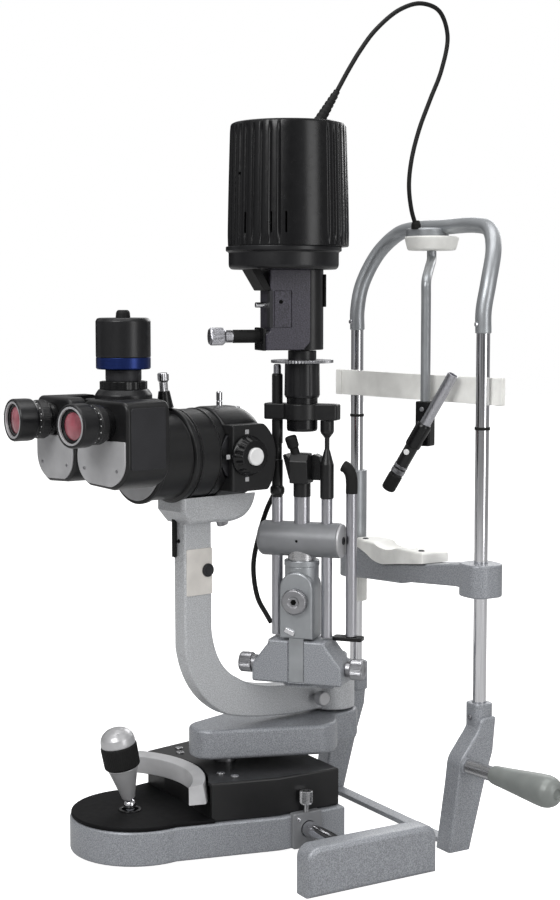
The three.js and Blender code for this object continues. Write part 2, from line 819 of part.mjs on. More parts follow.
function slitShaft() {
  const end = (side) =>
    lathe([
      [0, 47.5],
      [8.5, 47.5],
      [9.5, 49],
      [9.5, 64],
      [8, 66.5],
      [0, 66.5],
    ]).rotateY(rad(90 * side));
  return join(barX(5, 110, 16).translate(-55, 0, 0), end(1), end(-1)).translate(0, -TOWER_OUT, 181);
}

function towerHousing() {
  const arch = new THREE.Shape();
  arch.moveTo(-17, 212);
  arch.lineTo(17, 212);
  arch.lineTo(17, 262);
  arch.absarc(0, 262, 17, 0, Math.PI, false);
  const block = slabY(arch, -20, 14, 2);
  const body = bar(17, 72).translate(0, 0, 212);
  const neck = bar(14, 14).translate(0, 0, 283);
  const cross = barX(17.5, 86, 20).translate(-43, 0, 309.5);
  const holes = [-26, 26].map((a) => bar(6 + GAP, 60, 16).translate(a, 0, 280));
  const well = bar(8 + GAP, 40, 16).translate(0, 0, 300);
  const screwHole = barOut(3 + GAP, 20, 12).translate(0, -10, 250);
  return cut(join(block, body, neck, cross), ...holes, well, screwHole);
}

function towerTube(a) {
  const collared = [
    [8, 354],
    [8, 371],
    [5.5, 373],
    [5.5, 428.5],
  ];
  const waisted = [
    [7, 354],
    [7, 386],
    [3, 400],
    [3, 412],
    [7, 416],
    [7, 428.5],
  ];
  const profile = [[0, 212], [5.5, 212], [5.5, 351], [6, 352], ...(a < 0 ? collared : waisted), [0, 428.5]];
  return lathe(profile).translate(a, 0, 0);
}

function prismPost() {
  const post = bar(8, 52, 20).translate(0, 0, 302.5);
  const neck = bar(9.5, 14, 20).translate(0, 0, 353);
  const head = outline([
    [-14, 366],
    [14, 366],
    [14, 378],
    [3, 396],
    [-14, 396],
  ]);
  const prism = slabX(head, -10, 10, 1);
  const handle = bar(5, 22, 16).rotateX(rad(12)).translate(0, -6, 390);
  return join(post, neck, prism, handle);
}

function lensBracket() {
  const plate = slab(rounded(-38, 38, -9, 9, 4), 429, 445);
  const hub = bar(19, 16, 20).translate(0, 0, 429);
  return cut(join(plate, hub), bar(15.5 + GAP, 30, 20).translate(0, 0, 420));
}

function projectionLens() {
  const barrel = lathe(
    [
      [0, 417],
      [14.5, 417],
      [15.5, 419],
      [15.5, 450],
      [16, 450.5],
      [17.5, 453],
      [17.5, 485],
      [31, 485],
      [31, 488],
      [14, 488],
      [14, 497],
      [0, 497],
    ],
    20,
  );
  return cut(barrel, bar(9, 60, 20).translate(0, 0, 410));
}

// Slit head: turned separately from the tower, in its own frame with -X towards the operator
function upperBlock() {
  const side = outline([
    [-57, 577],
    [-42, 556],
    [-42, 498],
    [6, 498],
    [16, 506],
    [16, 577],
  ]);
  const body = slabY(side, -19, 19, 2);
  const column = bar(17, 79, 20).translate(4, 0, 498);
  const socket = lathe(
    [
      [0, 577],
      [52.5, 577],
      [54, 580],
      [54, 593],
      [56.8, 594],
      [56.8, 599],
      [0, 599],
    ],
    28,
  ).translate(SOCKET_OFF, 0, 0);
  const path = bar(9, 120, 20).translate(0, 0, 490);
  const room = bar(22, 30, 24).translate(LAMP_OFF, 0, 584);
  const seat = barX(5 + GAP, 20, 16).translate(-46, 0, 511.5);
  return cut(join(body, column, socket), path, room, seat);
}

function slitLever() {
  return lathe([
    [0, -8],
    [4.7, -8],
    [4.7, 0],
    [6, 0.5],
    [6.5, 1],
    [6.5, 28],
    [6, 30],
    [6, 36],
    [8.5, 38],
    [8.5, 50],
    [7, 52],
    [0, 52],
  ])
    .rotateY(rad(-90))
    .translate(-42.8, 0, 511.5);
}

function lampCap() {
  const outer = lathe(
    [
      [0, 599.4],
      [LAMP_R, 599.4],
      [LAMP_R, 606],
      [LAMP_R - 3, LAMP_TOP - 5],
      [LAMP_R - 4.5, LAMP_TOP - 1],
      [LAMP_R - 8, LAMP_TOP],
      [0, LAMP_TOP],
    ],
    32,
  );
  const room = bar(LAMP_R - 6, 112, 20).translate(0, 0, 599);
  const inlet = bar(4, 40, 12).translate(0, 30, 700);
  return cut(outer, room, inlet).translate(LAMP_OFF, 0, 0);
}

function ledModule() {
  const sink = lathe(
    [
      [0, 600],
      [18, 600],
      [18, 616],
      [30, 618],
      [30, 622],
      [20, 622],
      [20, 630],
      [30, 630],
      [30, 634],
      [20, 634],
      [20, 642],
      [30, 642],
      [30, 646],
      [0, 646],
    ],
    16,
  );
  const lens = lathe(
    [
      [0, 586],
      [12, 588],
      [15, 592],
      [15, 601],
      [0, 601],
    ],
    16,
  );
  return join(sink, lens).translate(LAMP_OFF, 0, 0);
}

// Cord from the lamp to the bow, and the relief it leaves through
const CORD_ROUTE = [
  vec(10, -76.2, 753.8),
  vec(7, -61, 775.5),
  vec(4.2, -44.8, 796.7),
  vec(0.5, -24.3, 818.6),
  vec(-5.6, 9.9, 842.9),
  vec(-11.2, 41.5, 852.6),
  vec(-16, 68, 847),
  vec(-18, 79.6, 824),
  vec(-16.5, 71, 787.6),
  vec(-13.5, 54.3, 755.2),
  vec(-10.7, 38.5, 723.2),
  vec(-8.8, 27.9, 691.7),
  vec(-8.2, 24.5, 665),
  vec(-8.9, 28.4, 640.2),
  vec(-10.1, 35.2, 623.6),
];

function cordAndRelief() {
  const start = vec(15.2, -106, 714);
  const along = CORD_ROUTE[0].clone().sub(start);
  const length = along.length() - 1;
  const boot = lathe(
    [
      [0, 0],
      [6.5, 0],
      [6, 16],
      [CORD_R + 1, length],
      [0, length],
    ],
    16,
  );
  const turn = new THREE.Quaternion().setFromUnitVectors(vec(0, 0, 1), along.clone().normalize());
  boot.applyQuaternion(turn).translate(start.x, start.y, start.z);
  const flush = box(-60, 60, -200, 0, 690, LAMP_TOP + GAP);
  place(slitLamp, "cord_relief", "rubber", cut(boot, flush));
  const route = new THREE.CatmullRomCurve3(CORD_ROUTE, false, "centripetal");
  place(slitLamp, "lamp_cord", "rubber", pipe(route, CORD_R, 48, 8));
}

function tower() {
  const arm = frameAt(slitLamp, AXIS_X, AXIS_Y, 0, TOWER_TURN);
  place(arm, "illumination_arm", "hammertone", illuminationArm());
  place(arm, "tower_foot", "hammertone", towerFoot());
  place(arm, "slit_width_knobs", "steel", slitShaft());
  const at = new THREE.Group();
  at.position.set(0, -TOWER_OUT, 0);
  arm.add(at);
  place(at, "tower_housing", "hammertone", towerHousing());
  place(at, "tower_tube_left", "steel", towerTube(-26));
  place(at, "tower_tube_right", "steel", towerTube(26));
  place(at, "prism_post", "black", prismPost());
  place(at, "lens_bracket", "black", lensBracket());
  place(at, "projection_lens", "black", projectionLens());
  const knob = lathe([
    [0, -6],
    [2.8, -6],
    [2.8, 0.4],
    [12.5, 0.4],
    [13, 2],
    [13, 6],
    [11, 8],
    [0, 8],
  ])
    .rotateX(rad(90))
    .translate(0, -20, 250);
  place(at, "centring_screw", "steel", knob);

  const rear = new THREE.CatmullRomCurve3(
    [vec(53, 8, 213), vec(53, 8, 300), vec(53, 8, 352), vec(51, 8, 368), vec(45, 8, 378)],
    false,
    "centripetal",
  );
  place(at, "background_tube", "steel", pipe(rear, 5.5, 10, 10));

  const loop = new THREE.CatmullRomCurve3(
    [
      vec(-36, 16, 350),
      vec(-45, 21, 334),
      vec(-52, 18, 309),
      vec(-56, 12, 278),
      vec(-50, 8, 246),
      vec(-40, 6, 230),
      vec(-34, 4, 222),
    ],
    false,
    "centripetal",
  );
  place(at, "tower_lead", "rubber", pipe(loop, 2.5, 16, 8));
}

function slitHead() {
  const centre = vec(0, -TOWER_OUT, 0).applyAxisAngle(vec(0, 0, 1), rad(TOWER_TURN));
  const at = frameAt(slitLamp, AXIS_X + centre.x, AXIS_Y + centre.y, 0, HEAD_TURN);
  place(at, "upper_block", "darkHammertone", upperBlock());
  place(at, "slit_lever", "steel", slitLever());
  place(at, "lamp_cap", "black", lampCap());
  place(at, "led_module", "steel", ledModule());
}

headrest();
rails();
chinRest();
fixationLamp();
base();
joystick();
carriage();
microscope();
tower();
slitHead();
cordAndRelief();

export default slitLamp;
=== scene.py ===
"""Slit lamp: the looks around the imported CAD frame.

Shapes are made in millimetres in a local frame of the instrument and scaled to metres
when they become a piece.
+Z is up, +Y runs from the operator to the patient and +X to the operator's right.
"""

import json
import math

import bmesh
import bpy
from mathutils import Matrix, Vector


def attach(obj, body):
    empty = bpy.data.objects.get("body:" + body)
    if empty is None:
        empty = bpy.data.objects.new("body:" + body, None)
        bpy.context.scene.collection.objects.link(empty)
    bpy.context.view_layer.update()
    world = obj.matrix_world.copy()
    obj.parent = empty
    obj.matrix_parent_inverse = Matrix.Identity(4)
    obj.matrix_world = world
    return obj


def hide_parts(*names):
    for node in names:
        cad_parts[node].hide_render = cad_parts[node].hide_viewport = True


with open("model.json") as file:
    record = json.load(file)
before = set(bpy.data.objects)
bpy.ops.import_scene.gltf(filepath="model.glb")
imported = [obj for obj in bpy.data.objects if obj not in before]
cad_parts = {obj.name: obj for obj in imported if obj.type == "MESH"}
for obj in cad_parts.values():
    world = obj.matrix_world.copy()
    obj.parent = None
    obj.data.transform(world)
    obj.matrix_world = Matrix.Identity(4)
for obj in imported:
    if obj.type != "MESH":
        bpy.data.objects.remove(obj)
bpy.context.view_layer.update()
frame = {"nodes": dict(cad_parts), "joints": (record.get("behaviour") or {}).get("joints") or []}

MM = 0.001
TAU = 2 * math.pi
JOINTS = {j["name"]: j for j in frame["joints"]}


# Local frames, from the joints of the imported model
def upright(joint, across, sign=1):
    """The frame on a joint's vertical line whose X lies along another joint's level axis."""
    x, y, _ = JOINTS[joint]["pos_m"]
    ax, ay, _ = JOINTS[across]["axis"]
    turn = math.atan2(sign * ay, sign * ax)
    return Matrix.Translation((x, y, 0)) @ Matrix.Rotation(turn, 4, "Z")


def leaning(joint, along):
    """The frame at a joint's point whose Z lies along another joint's axis."""
    lean = Vector((0, 0, 1)).rotation_difference(Vector(JOINTS[along]["axis"]))
    return Matrix.Translation(JOINTS[joint]["pos_m"]) @ lean.to_matrix().to_4x4()


WORLD = Matrix.Identity(4)
SCOPE = upright("scope_swing", "scope_lock_turn")
ARM = upright("illumination_swing", "tower_tilt")
TOWER = upright("tower_tilt", "tower_tilt")
HEAD = upright("slit_rotation", "slit_length_turn", -1)
BASE = Matrix.Translation((JOINTS["scope_swing"]["pos_m"][0], 0, 0))
STICK = leaning("joystick_fore", "joystick_twist")
FIX_AT = JOINTS["fixation_turn"]["pos_m"]
FIX = upright("fixation_turn", "fixation_tilt") @ Matrix.Rotation(math.pi / 2, 4, "Z")

# Measures that several parts share, in millimetres
COLUMN_X = 112.5
COLUMN_Y = 30
GUIDE_Y = -176
TRIM_Y = -322
JOY_X = 2
JOY_Y = -285
OPTIC_Z = 397
CHANGER_Y = -155
CAMERA_Y = -264
CROSS_Z = 309.5
TUBE_X = 26


def box_in(node, at):
    """Lowest and highest corner of a CAD node in a local frame, in millimetres."""
    back = at.inverted()
    points = [back @ v.co for v in frame["nodes"][node].data.vertices]
    low = Vector(min(p[k] for p in points) for k in range(3))
    high = Vector(max(p[k] for p in points) for k in range(3))
    return low / MM, high / MM


# Outlines: lists of (u, v) points
class Outline:
    """A closed outline drawn with straight and curved stretches."""

    def __init__(self, u, v):
        self.points = [(u, v)]

    def to(self, *corners):
        self.points.extend(corners)
        return self

    def quad(self, cu, cv, u, v, steps=12):
        """A parabola to (u, v) pulled towards the control point (cu, cv)."""
        u0, v0 = self.points[-1]
        for i in range(1, steps + 1):
            t = i / steps
            a, b, c = (1 - t) ** 2, 2 * t * (1 - t), t * t
            self.points.append((a * u0 + b * cu + c * u, a * v0 + b * cv + c * v))
        return self

    def arc(self, cu, cv, r, start, end, steps=16):
        for i in range(steps + 1):
            a = math.radians(start + (end - start) * i / steps)
            self.points.append((cu + r * math.cos(a), cv + r * math.sin(a)))
        return self


def rounded(u0, u1, v0, v1, r, steps=6):
    shape = Outline(u1 - r, v0)
    shape.points = []
    for cu, cv, start in ((u1 - r, v0 + r, -90), (u1 - r, v1 - r, 0), (u0 + r, v1 - r, 90),
                          (u0 + r, v0 + r, 180)):
        shape.arc(cu, cv, r, start, start + 90, steps)
    return shape.points


def soft(points, r=0.6, steps=3, closed=False):
    """The same line with its corners rounded off."""
    out = []
    last = len(points) - 1
    for i, p in enumerate(points):
        if not closed and i in (0, last):
            out.append(p)
            continue
        a, b, c = Vector(points[i - 1]), Vector(p), Vector(points[(i + 1) % len(points)])
        u, v = a - b, c - b
        room = min(u.length, v.length) * 0.45
        if room < 1e-6 or u.angle(v, math.pi) > math.radians(165):
            out.append(p)
            continue
        reach = min(r, room)
        p0, p2 = b + u.normalized() * reach, b + v.normalized() * reach
        for k in range(steps + 1):
            t = k / steps
            q = p0 * (1 - t) ** 2 + b * (2 * t * (1 - t)) + p2 * t * t
            out.append((q.x, q.y))
    return out


def meeting(p, u, q, v):
    """Where the line through p along u crosses the line through q along v."""
    cross = u.x * v.y - u.y * v.x
    if abs(cross) < 0.02:
        return (p + q) / 2
    gap = q - p
    return p + u * ((gap.x * v.y - gap.y * v.x) / cross)


def inset(points, far):
    """A counter-clockwise outline shrunk by a distance; sides that would turn over close up."""
    corners = [Vector(p) for p in points]
    n = len(corners)
    sides = [(corners[(k + 1) % n] - corners[k]).normalized() for k in range(n)]
    origins = [corners[k] + Vector((-sides[k].y, sides[k].x)) * far for k in range(n)]
    alive = list(range(n))
    while True:
        starts = {}
        for i, k in enumerate(alive):
            before = alive[i - 1]
            joint = origins[before] + sides[before] * (corners[(before + 1) % n] - corners[before]).length
            starts[k] = meeting(joint, sides[before], origins[k], sides[k])
        over = [
            k
            for i, k in enumerate(alive)
            if (starts[alive[(i + 1) % len(alive)]] - starts[k]).dot(sides[k]) < -1e-6
        ]
        if not over or len(alive) - len(over) < 3:
            break
        alive = [k for k in alive if k not in over]
    out = []
    for k in range(n):
        first = next((j for j in alive if j >= k), alive[0])
        out.append(tuple(starts[first]))
    return out


# Solids: closed bmeshes in millimetres
def rings_to_solid(rings, closed=False):
    """Skins a run of rings; a ring of one point is a pole, and open runs get flat caps."""
    shape = bmesh.new()
    made = [[shape.verts.new(p) for p in ring] for ring in rings]
    pairs = list(zip(made, made[1:] + made[:1] if closed else made[1:]))
    for a, b in pairs:
        n = max(len(a), len(b))
        for i in range(n):
            j = (i + 1) % n
            corners = [a[i % len(a)], a[j % len(a)], b[j % len(b)], b[i % len(b)]]
            face = list(dict.fromkeys(corners))
            if len(face) > 2:
                shape.faces.new(face)
    if not closed:
        for ring in (made[0], made[-1]):
            if len(ring) > 2:
                shape.faces.new(ring)
    bmesh.ops.remove_doubles(shape, verts=shape.verts, dist=0.0005)
    bmesh.ops.dissolve_degenerate(shape, edges=shape.edges, dist=0.0005)
    bmesh.ops.recalc_face_normals(shape, faces=shape.faces)
    return shape


def lathe(profile, n=80, wave=None, closed=False):
    """A body turned about Z from an (r, z) profile. wave(angle, z) adds to the radius."""
    rings = []
    for r, z in profile:
        if r < 1e-5:
            rings.append([(0, 0, z)])
            continue
        ring = []
        for i in range(n):
            a = TAU * i / n
            grown = r + (wave(a, z) if wave else 0)
            ring.append((grown * math.cos(a), grown * math.sin(a), z))
        rings.append(ring)
    return rings_to_solid(rings, closed)


def spindle(profile, edge=0.6, n=80, wave=None):
    """A turned body whose profile has its corners rounded off."""
    return lathe(soft(profile, edge), n, wave)


def plug(r, z0, z1, n=48):
    """A sharp cylinder that cuts a bore."""
    return lathe([(0, z0), (r, z0), (r, z1), (0, z1)], n)


def rod(r, z0, z1, edge=0.5, n=64, wave=None):
    return lathe(soft([(0, z0), (r, z0), (r, z1), (0, z1)], edge), n, wave)


def ring(inner, outer, z0, z1, edge=0.4, n=64, wave=None):
    corners = [(inner, z0), (outer, z0), (outer, z1), (inner, z1)]
    return lathe(soft(corners, edge, closed=True), n, wave, closed=True)


def slab(outline, z0, z1, edge=1.0, steps=4):
    """An outline in XY from z0 to z1 with rounded rims."""
    points = outline.points if isinstance(outline, Outline) else list(outline)
    cleaned = [p for i, p in enumerate(points) if (Vector(p) - Vector(points[i - 1])).length > 1e-4]
    area = sum(a[0] * b[1] - b[0] * a[1] for a, b in zip(cleaned, cleaned[1:] + cleaned[:1]))
    if area < 0:
        cleaned.reverse()
    rings = []
    for k in range(steps + 1):
        a = math.pi / 2 * k / steps
        rings.append((edge * (1 - math.sin(a)), z0 + edge * (1 - math.cos(a))))
    rings += [(far, z0 + z1 - z) for far, z in reversed(rings)]
    return rings_to_solid([[(u, v, z) for u, v in inset(cleaned, far)] for far, z in rings])


def catmull(points, steps):
    """A smooth centripetal line through the points."""
    p = [Vector(q) for q in points]
    p = [p[0] * 2 - p[1], *p, p[-1] * 2 - p[-2]]
    out = []
    for i in range(1, len(p) - 2):
        dt = [max((p[i + k] - p[i + k - 1]).length ** 0.5, 1e-6) for k in range(3)]
        t1 = (p[i] - p[i - 1]) / dt[0] - (p[i + 1] - p[i - 1]) / (dt[0] + dt[1]) + (p[i + 1] - p[i]) / dt[1]
        t2 = (p[i + 1] - p[i]) / dt[1] - (p[i + 2] - p[i]) / (dt[1] + dt[2]) + (p[i + 2] - p[i + 1]) / dt[2]
        t1, t2 = t1 * dt[1], t2 * dt[1]
        for k in range(steps):
            t = k / steps
            a, b = 2 * t**3 - 3 * t**2 + 1, t**3 - 2 * t**2 + t
            c, d = -2 * t**3 + 3 * t**2, t**3 - t**2
            out.append(p[i] * a + t1 * b + p[i + 1] * c + t2 * d)
    out.append(p[-2])
    return out


def sweep(line, r, n=24, cap=0.5):
    """A round tube along a line; r is a number or a function of the share along it."""
    rings = []
    side = None
    for i, p in enumerate(line):
        ahead = (line[min(i + 1, len(line) - 1)] - line[max(i - 1, 0)]).normalized()
        if side is None:
            side = ahead.orthogonal().normalized()
        side = (side - ahead * side.dot(ahead)).normalized()
        up = ahead.cross(side)
        size = r(i / (len(line) - 1)) if callable(r) else r
        radii = [size]
        if i in (0, len(line) - 1):
            radii = [size - cap, size] if i == 0 else [size, size - cap]
        for k, radius in enumerate(radii):
            shift = ahead * cap * (k if i == 0 else -(1 - k)) if len(radii) > 1 else Vector()
            rings.append([
                tuple(p + shift + side * radius * math.cos(TAU * j / n) + up * radius * math.sin(TAU * j / n))
                for j in range(n)
            ])
    return rings_to_solid(rings)


# Placing solids in their local frame
TO_X = Matrix(((0, 0, 1, 0), (1, 0, 0, 0), (0, 1, 0, 0), (0, 0, 0, 1)))
TO_OUT = Matrix(((1, 0, 0, 0), (0, 0, -1, 0), (0, 1, 0, 0), (0, 0, 0, 1)))


def moved(shape, x=0.0, y=0.0, z=0.0):
    bmesh.ops.translate(shape, verts=shape.verts, vec=(x, y, z))
    return shape


def turned(shape, matrix):
    shape.transform(matrix)
    return shape


def spun(shape, degrees, axis="Z"):
    return turned(shape, Matrix.Rotation(math.radians(degrees), 4, axis))


def along_x(shape):
    """Lays a solid's Z along X, its X along Y and its Y along Z."""
    return turned(shape, TO_X)


def outwards(shape):
    """Lays a solid's Z along -Y and its Y along Z."""
    return turned(shape, TO_OUT)


def slab_x(outline, x0, x1, edge=1.0):
    """A (y, z) outline laid across X."""
    return along_x(slab(outline, x0, x1, edge))


def slab_y(outline, y0, y1, edge=1.0):
    """An (x, z) outline laid along Y."""
    return outwards(slab(outline, -y1, -y0, edge))


def flipped(shape, side):
    """The mirror image across X when side is negative."""
    if side < 0:
        bmesh.ops.scale(shape, verts=shape.verts, vec=(-1, 1, 1))
        bmesh.ops.recalc_face_normals(shape, faces=shape.faces)
    return shape


def gathered(*shapes):
    """Several solids in one mesh."""
    whole = bmesh.new()
    for shape in shapes:
        carrier = bpy.data.meshes.new("carrier")
        shape.to_mesh(carrier)
        shape.free()
        whole.from_mesh(carrier)
        bpy.data.meshes.remove(carrier)
    return whole


def loose(shape, name):
    mesh = bpy.data.meshes.new(name)
    shape.to_mesh(mesh)
    shape.free()
    made = bpy.data.objects.new(name, mesh)
    bpy.context.scene.collection.objects.link(made)
    return made


def combined(shape, tools, operation):
    """Exact boolean of one solid with others."""
    body = loose(shape, "body")
    cutters = [loose(tool, "tool") for tool in tools]
    for cutter in cutters:
        step = body.modifiers.new("step", "BOOLEAN")
        step.operation = operation
        step.solver = "EXACT"
        step.object = cutter
    bpy.context.view_layer.update()
    shown = body.evaluated_get(bpy.context.evaluated_depsgraph_get())
    mesh = bpy.data.meshes.new_from_object(shown)
    out = bmesh.new()
    out.from_mesh(mesh)
    for used in [body, *cutters]:
        bpy.data.objects.remove(used)
    bpy.data.meshes.remove(mesh)
    return out


def cut(shape, *tools):
    return combined(shape, tools, "DIFFERENCE")


def union(shape, *others):
    return combined(shape, others, "UNION")


def knurl(teeth, depth):
    """A straight knurl for lathe's wave."""
    return lambda a, z: depth * math.cos(teeth * a)


# Materials
class Paint:
    """A principled material with helpers for its procedural detail."""

    def __init__(self, name, roughness, metallic=0.0, specular=0.5):
        self.material = bpy.data.materials.new(name)
        self.material.use_nodes = True
        self.nodes = self.material.node_tree.nodes
        self.links = self.material.node_tree.links
        self.shader = self.nodes["Principled BSDF"]
        self.shader.inputs["Roughness"].default_value = roughness
        self.shader.inputs["Metallic"].default_value = metallic
        self.shader.inputs["Specular IOR Level"].default_value = specular
        self.place = self.nodes.new("ShaderNodeTexCoord").outputs["Object"]

    def noise(self, scale, detail=2.0, stretch=None):
        """Fine noise, scale in waves per metre."""
        place = self.place
        if stretch:
            mapping = self.nodes.new("ShaderNodeMapping")
            mapping.inputs["Scale"].default_value = stretch
            self.links.new(place, mapping.inputs["Vector"])
            place = mapping.outputs["Vector"]
        node = self.nodes.new("ShaderNodeTexNoise")
        node.inputs["Scale"].default_value = scale
        node.inputs["Detail"].default_value = detail
        self.links.new(place, node.inputs["Vector"])
        return node.outputs["Fac"]

    def cells(self, scale):
        node = self.nodes.new("ShaderNodeTexVoronoi")
        node.feature = "SMOOTH_F1"
        node.inputs["Scale"].default_value = scale
        self.links.new(self.place, node.inputs["Vector"])
        return node.outputs["Distance"]

    def ramp(self, source, stops):
        """A colour ramp; stops are (place, colour)."""
        node = self.nodes.new("ShaderNodeValToRGB")
        first, last = node.color_ramp.elements
        for element, (at, colour) in zip((first, last), (stops[0], stops[-1])):
            element.position = at
            element.color = (*colour, 1)
        for at, colour in stops[1:-1]:
            node.color_ramp.elements.new(at).color = (*colour, 1)
        self.links.new(source, node.inputs["Fac"])
        return node.outputs["Color"]

    def span(self, source, low, high):
        node = self.nodes.new("ShaderNodeMapRange")
        node.inputs["To Min"].default_value = low
        node.inputs["To Max"].default_value = high
        self.links.new(source, node.inputs["Value"])
        return node.outputs["Result"]

    def colour(self, source):
        if isinstance(source, tuple):
            self.shader.inputs["Base Color"].default_value = (*source, 1)
        else:
            self.links.new(source, self.shader.inputs["Base Color"])
        return self

    def rough(self, source):
        self.links.new(source, self.shader.inputs["Roughness"])
        return self

    def bump(self, source, strength, distance):
        node = self.nodes.new("ShaderNodeBump")
        node.inputs["Strength"].default_value = strength
        node.inputs["Distance"].default_value = distance
        self.links.new(source, node.inputs["Height"])
        self.links.new(node.outputs["Normal"], self.shader.inputs["Normal"])
        return self

    def coat(self, weight, roughness=0.1):
        self.shader.inputs["Coat Weight"].default_value = weight
        self.shader.inputs["Coat Roughness"].default_value = roughness
        return self


def tint(colour, k):
    return tuple(min(1.0, c * k) for c in colour)


def hammered(name, colour, contrast=0.3, metallic=0.3, roughness=0.45):
    """Hammertone enamel: fine light and dark speckle over a pebbled skin."""
    paint = Paint(name, roughness, metallic)
    speckle = paint.noise(1100, 2.0)
    stops = [(0.36, tint(colour, 1 - contrast)), (0.5, colour), (0.64, tint(colour, 1 + contrast))]
    paint.colour(paint.ramp(speckle, stops))
    paint.rough(paint.span(paint.noise(500), roughness - 0.08, roughness + 0.08))
    return paint.bump(paint.cells(800), 0.4, 0.0003).coat(0.3, 0.2)


def satin(name, colour, roughness, metallic=0.0, grain=2200, strength=0.12, specular=0.5):
    """A finely grained satin surface with faint wear in its gloss."""
    paint = Paint(name, roughness, metallic, specular)
    cloud = paint.noise(35, 4.0)
    paint.colour(paint.ramp(cloud, [(0.3, tint(colour, 0.88)), (0.7, tint(colour, 1.14))]))
    paint.rough(paint.span(paint.noise(160, 4.0), roughness - 0.06, roughness + 0.08))
    return paint.bump(paint.noise(grain, 2.0), strength, 0.0002)


def brushed(name, colour, roughness, stretch, metallic=1.0):
    """Turned or drawn metal with fine lines along one direction."""
    paint = Paint(name, roughness, metallic)
    lines = paint.noise(1.0, 3.0, stretch)
    paint.colour(paint.ramp(lines, [(0.3, tint(colour, 0.86)), (0.7, tint(colour, 1.1))]))
    paint.rough(paint.span(lines, roughness * 0.75, roughness * 1.35))
    return paint.bump(lines, 0.08, 0.0002)


def lens_coating():
    """Coated glass, mottled between wine red and rose."""
    paint = Paint("coated_lens", 0.04, 0.0, 0.8)
    paint.colour(paint.ramp(paint.noise(60, 1.0), [(0.35, (0.2, 0.035, 0.05)),
                                                   (0.65, (0.42, 0.12, 0.15))]))
    return paint.coat(1.0, 0.02)


LENGTHWISE = (1400, 1400, 25)
ROUND_THE_AXIS = (40, 40, 2600)
LOOKS = {
    "hammertone": hammered("hammertone", (0.29, 0.302, 0.325), 0.3),
    "pale_hammertone": hammered("pale_hammertone", (0.5, 0.51, 0.525), 0.24),
    "dark_hammertone": hammered("dark_hammertone", (0.036, 0.033, 0.046), 0.6, 0.2, 0.42),
    "plain_grey": satin("plain_grey", (0.21, 0.215, 0.225), 0.42, 0.2),
    "black": satin("black", (0.009, 0.009, 0.0095), 0.33, specular=0.4),
    "matt_black": satin("matt_black", (0.005, 0.005, 0.0055), 0.6, specular=0.1),
    "black_gloss": satin("black_gloss", (0.005, 0.005, 0.0055), 0.24, strength=0.05, specular=0.35),
    "black_metal": satin("black_metal", (0.008, 0.008, 0.009), 0.32, 0.1, specular=0.45),
    "graphite": satin("graphite", (0.028, 0.028, 0.031), 0.45, 0.3, specular=0.35),
    "rubber": satin("rubber", (0.007, 0.007, 0.007), 0.62, grain=1200, strength=0.3, specular=0.25),
    "chrome": brushed("chrome", (0.72, 0.72, 0.74), 0.1, LENGTHWISE),
    "steel": brushed("steel", (0.36, 0.36, 0.375), 0.34, ROUND_THE_AXIS),
    "bright_steel": brushed("bright_steel", (0.55, 0.55, 0.56), 0.26, ROUND_THE_AXIS),
    "tube_silver": brushed("tube_silver", (0.5, 0.5, 0.53), 0.28, LENGTHWISE),
    "silver_paint": satin("silver_paint", (0.36, 0.375, 0.39), 0.36, 0.65, grain=1600),
    "plate_silver": satin("plate_silver", (0.5, 0.5, 0.51), 0.4, 0.45, grain=1800),
    "white_plastic": satin("white_plastic", (0.88, 0.875, 0.84), 0.45, grain=900, strength=0.08),
    "white_mark": satin("white_mark", (0.75, 0.75, 0.75), 0.5, grain=900, strength=0.05),
    "cream_plate": satin("cream_plate", (0.72, 0.69, 0.65), 0.45, grain=700, strength=0.1),
    "blue_anodised": brushed("blue_anodised", (0.01, 0.025, 0.13), 0.3, ROUND_THE_AXIS, 0.7),
    "grip_paint": satin("grip_paint", (0.23, 0.245, 0.235), 0.42, 0.3, grain=1500),
    "trim_silver": satin("trim_silver", (0.52, 0.52, 0.53), 0.4, 0.3, grain=1500),
    "cone_silver": satin("cone_silver", (0.5, 0.5, 0.51), 0.3, 0.45, grain=1500),
    "glass": lens_coating(),
    # Near-black matt colour: painted shade inside the lamp cap and in the centring knob's socket; it also
    # colours the small dark dots.
    "dark_dot_and_hole_shade": satin("dark_dot_and_hole_shade", (0.002, 0.002, 0.002), 0.8, specular=0.1),
}


def piece(name, look, shape, at, body, stands_for=(), sharp=34):
    """Turns a solid into a piece that rides on a body."""
    made = loose(shape, name)
    made.data.transform(Matrix.Scale(MM, 4))
    made.data.shade_smooth()
    made.data.set_sharp_from_angle(angle=math.radians(sharp))
    made.data.materials.append(LOOKS[look].material)
    made.matrix_world = at
    even = made.modifiers.new("even", "WEIGHTED_NORMAL")
    even.keep_sharp = True
    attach(made, body)
    if stands_for:
        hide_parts(*([stands_for] if isinstance(stands_for, str) else stands_for))
    return made


def fixed_to(at, body):
    """A maker of pieces that share one local frame and ride on one body."""

    def make(name, look, shape, stands_for=(), sharp=34):
        return piece(name, look, shape, at, body, stands_for, sharp)

    return make


on_root = fixed_to(WORLD, "root")
on_base = fixed_to(BASE, "base")
on_scope = fixed_to(SCOPE, "microscope")
on_tower = fixed_to(TOWER, "tower")
on_head = fixed_to(HEAD, "slit_head")


def screw_head(r, height=1.6):
    """A round screw head with a hex socket, standing on z = 0."""
    head = spindle([(0, 0), (r, 0), (r, height), (0, height)], 0.4, 40)
    return cut(head, plug(r * 0.5, height - 0.9, height + 1, 6))


# Camera, light and floor
CAMERA_AT = (1.40304, -0.97280, 0.54617)
CAMERA_AZIMUTH = 59.2
CAMERA_PITCH = 5.2
CAMERA_LENS = 65.64


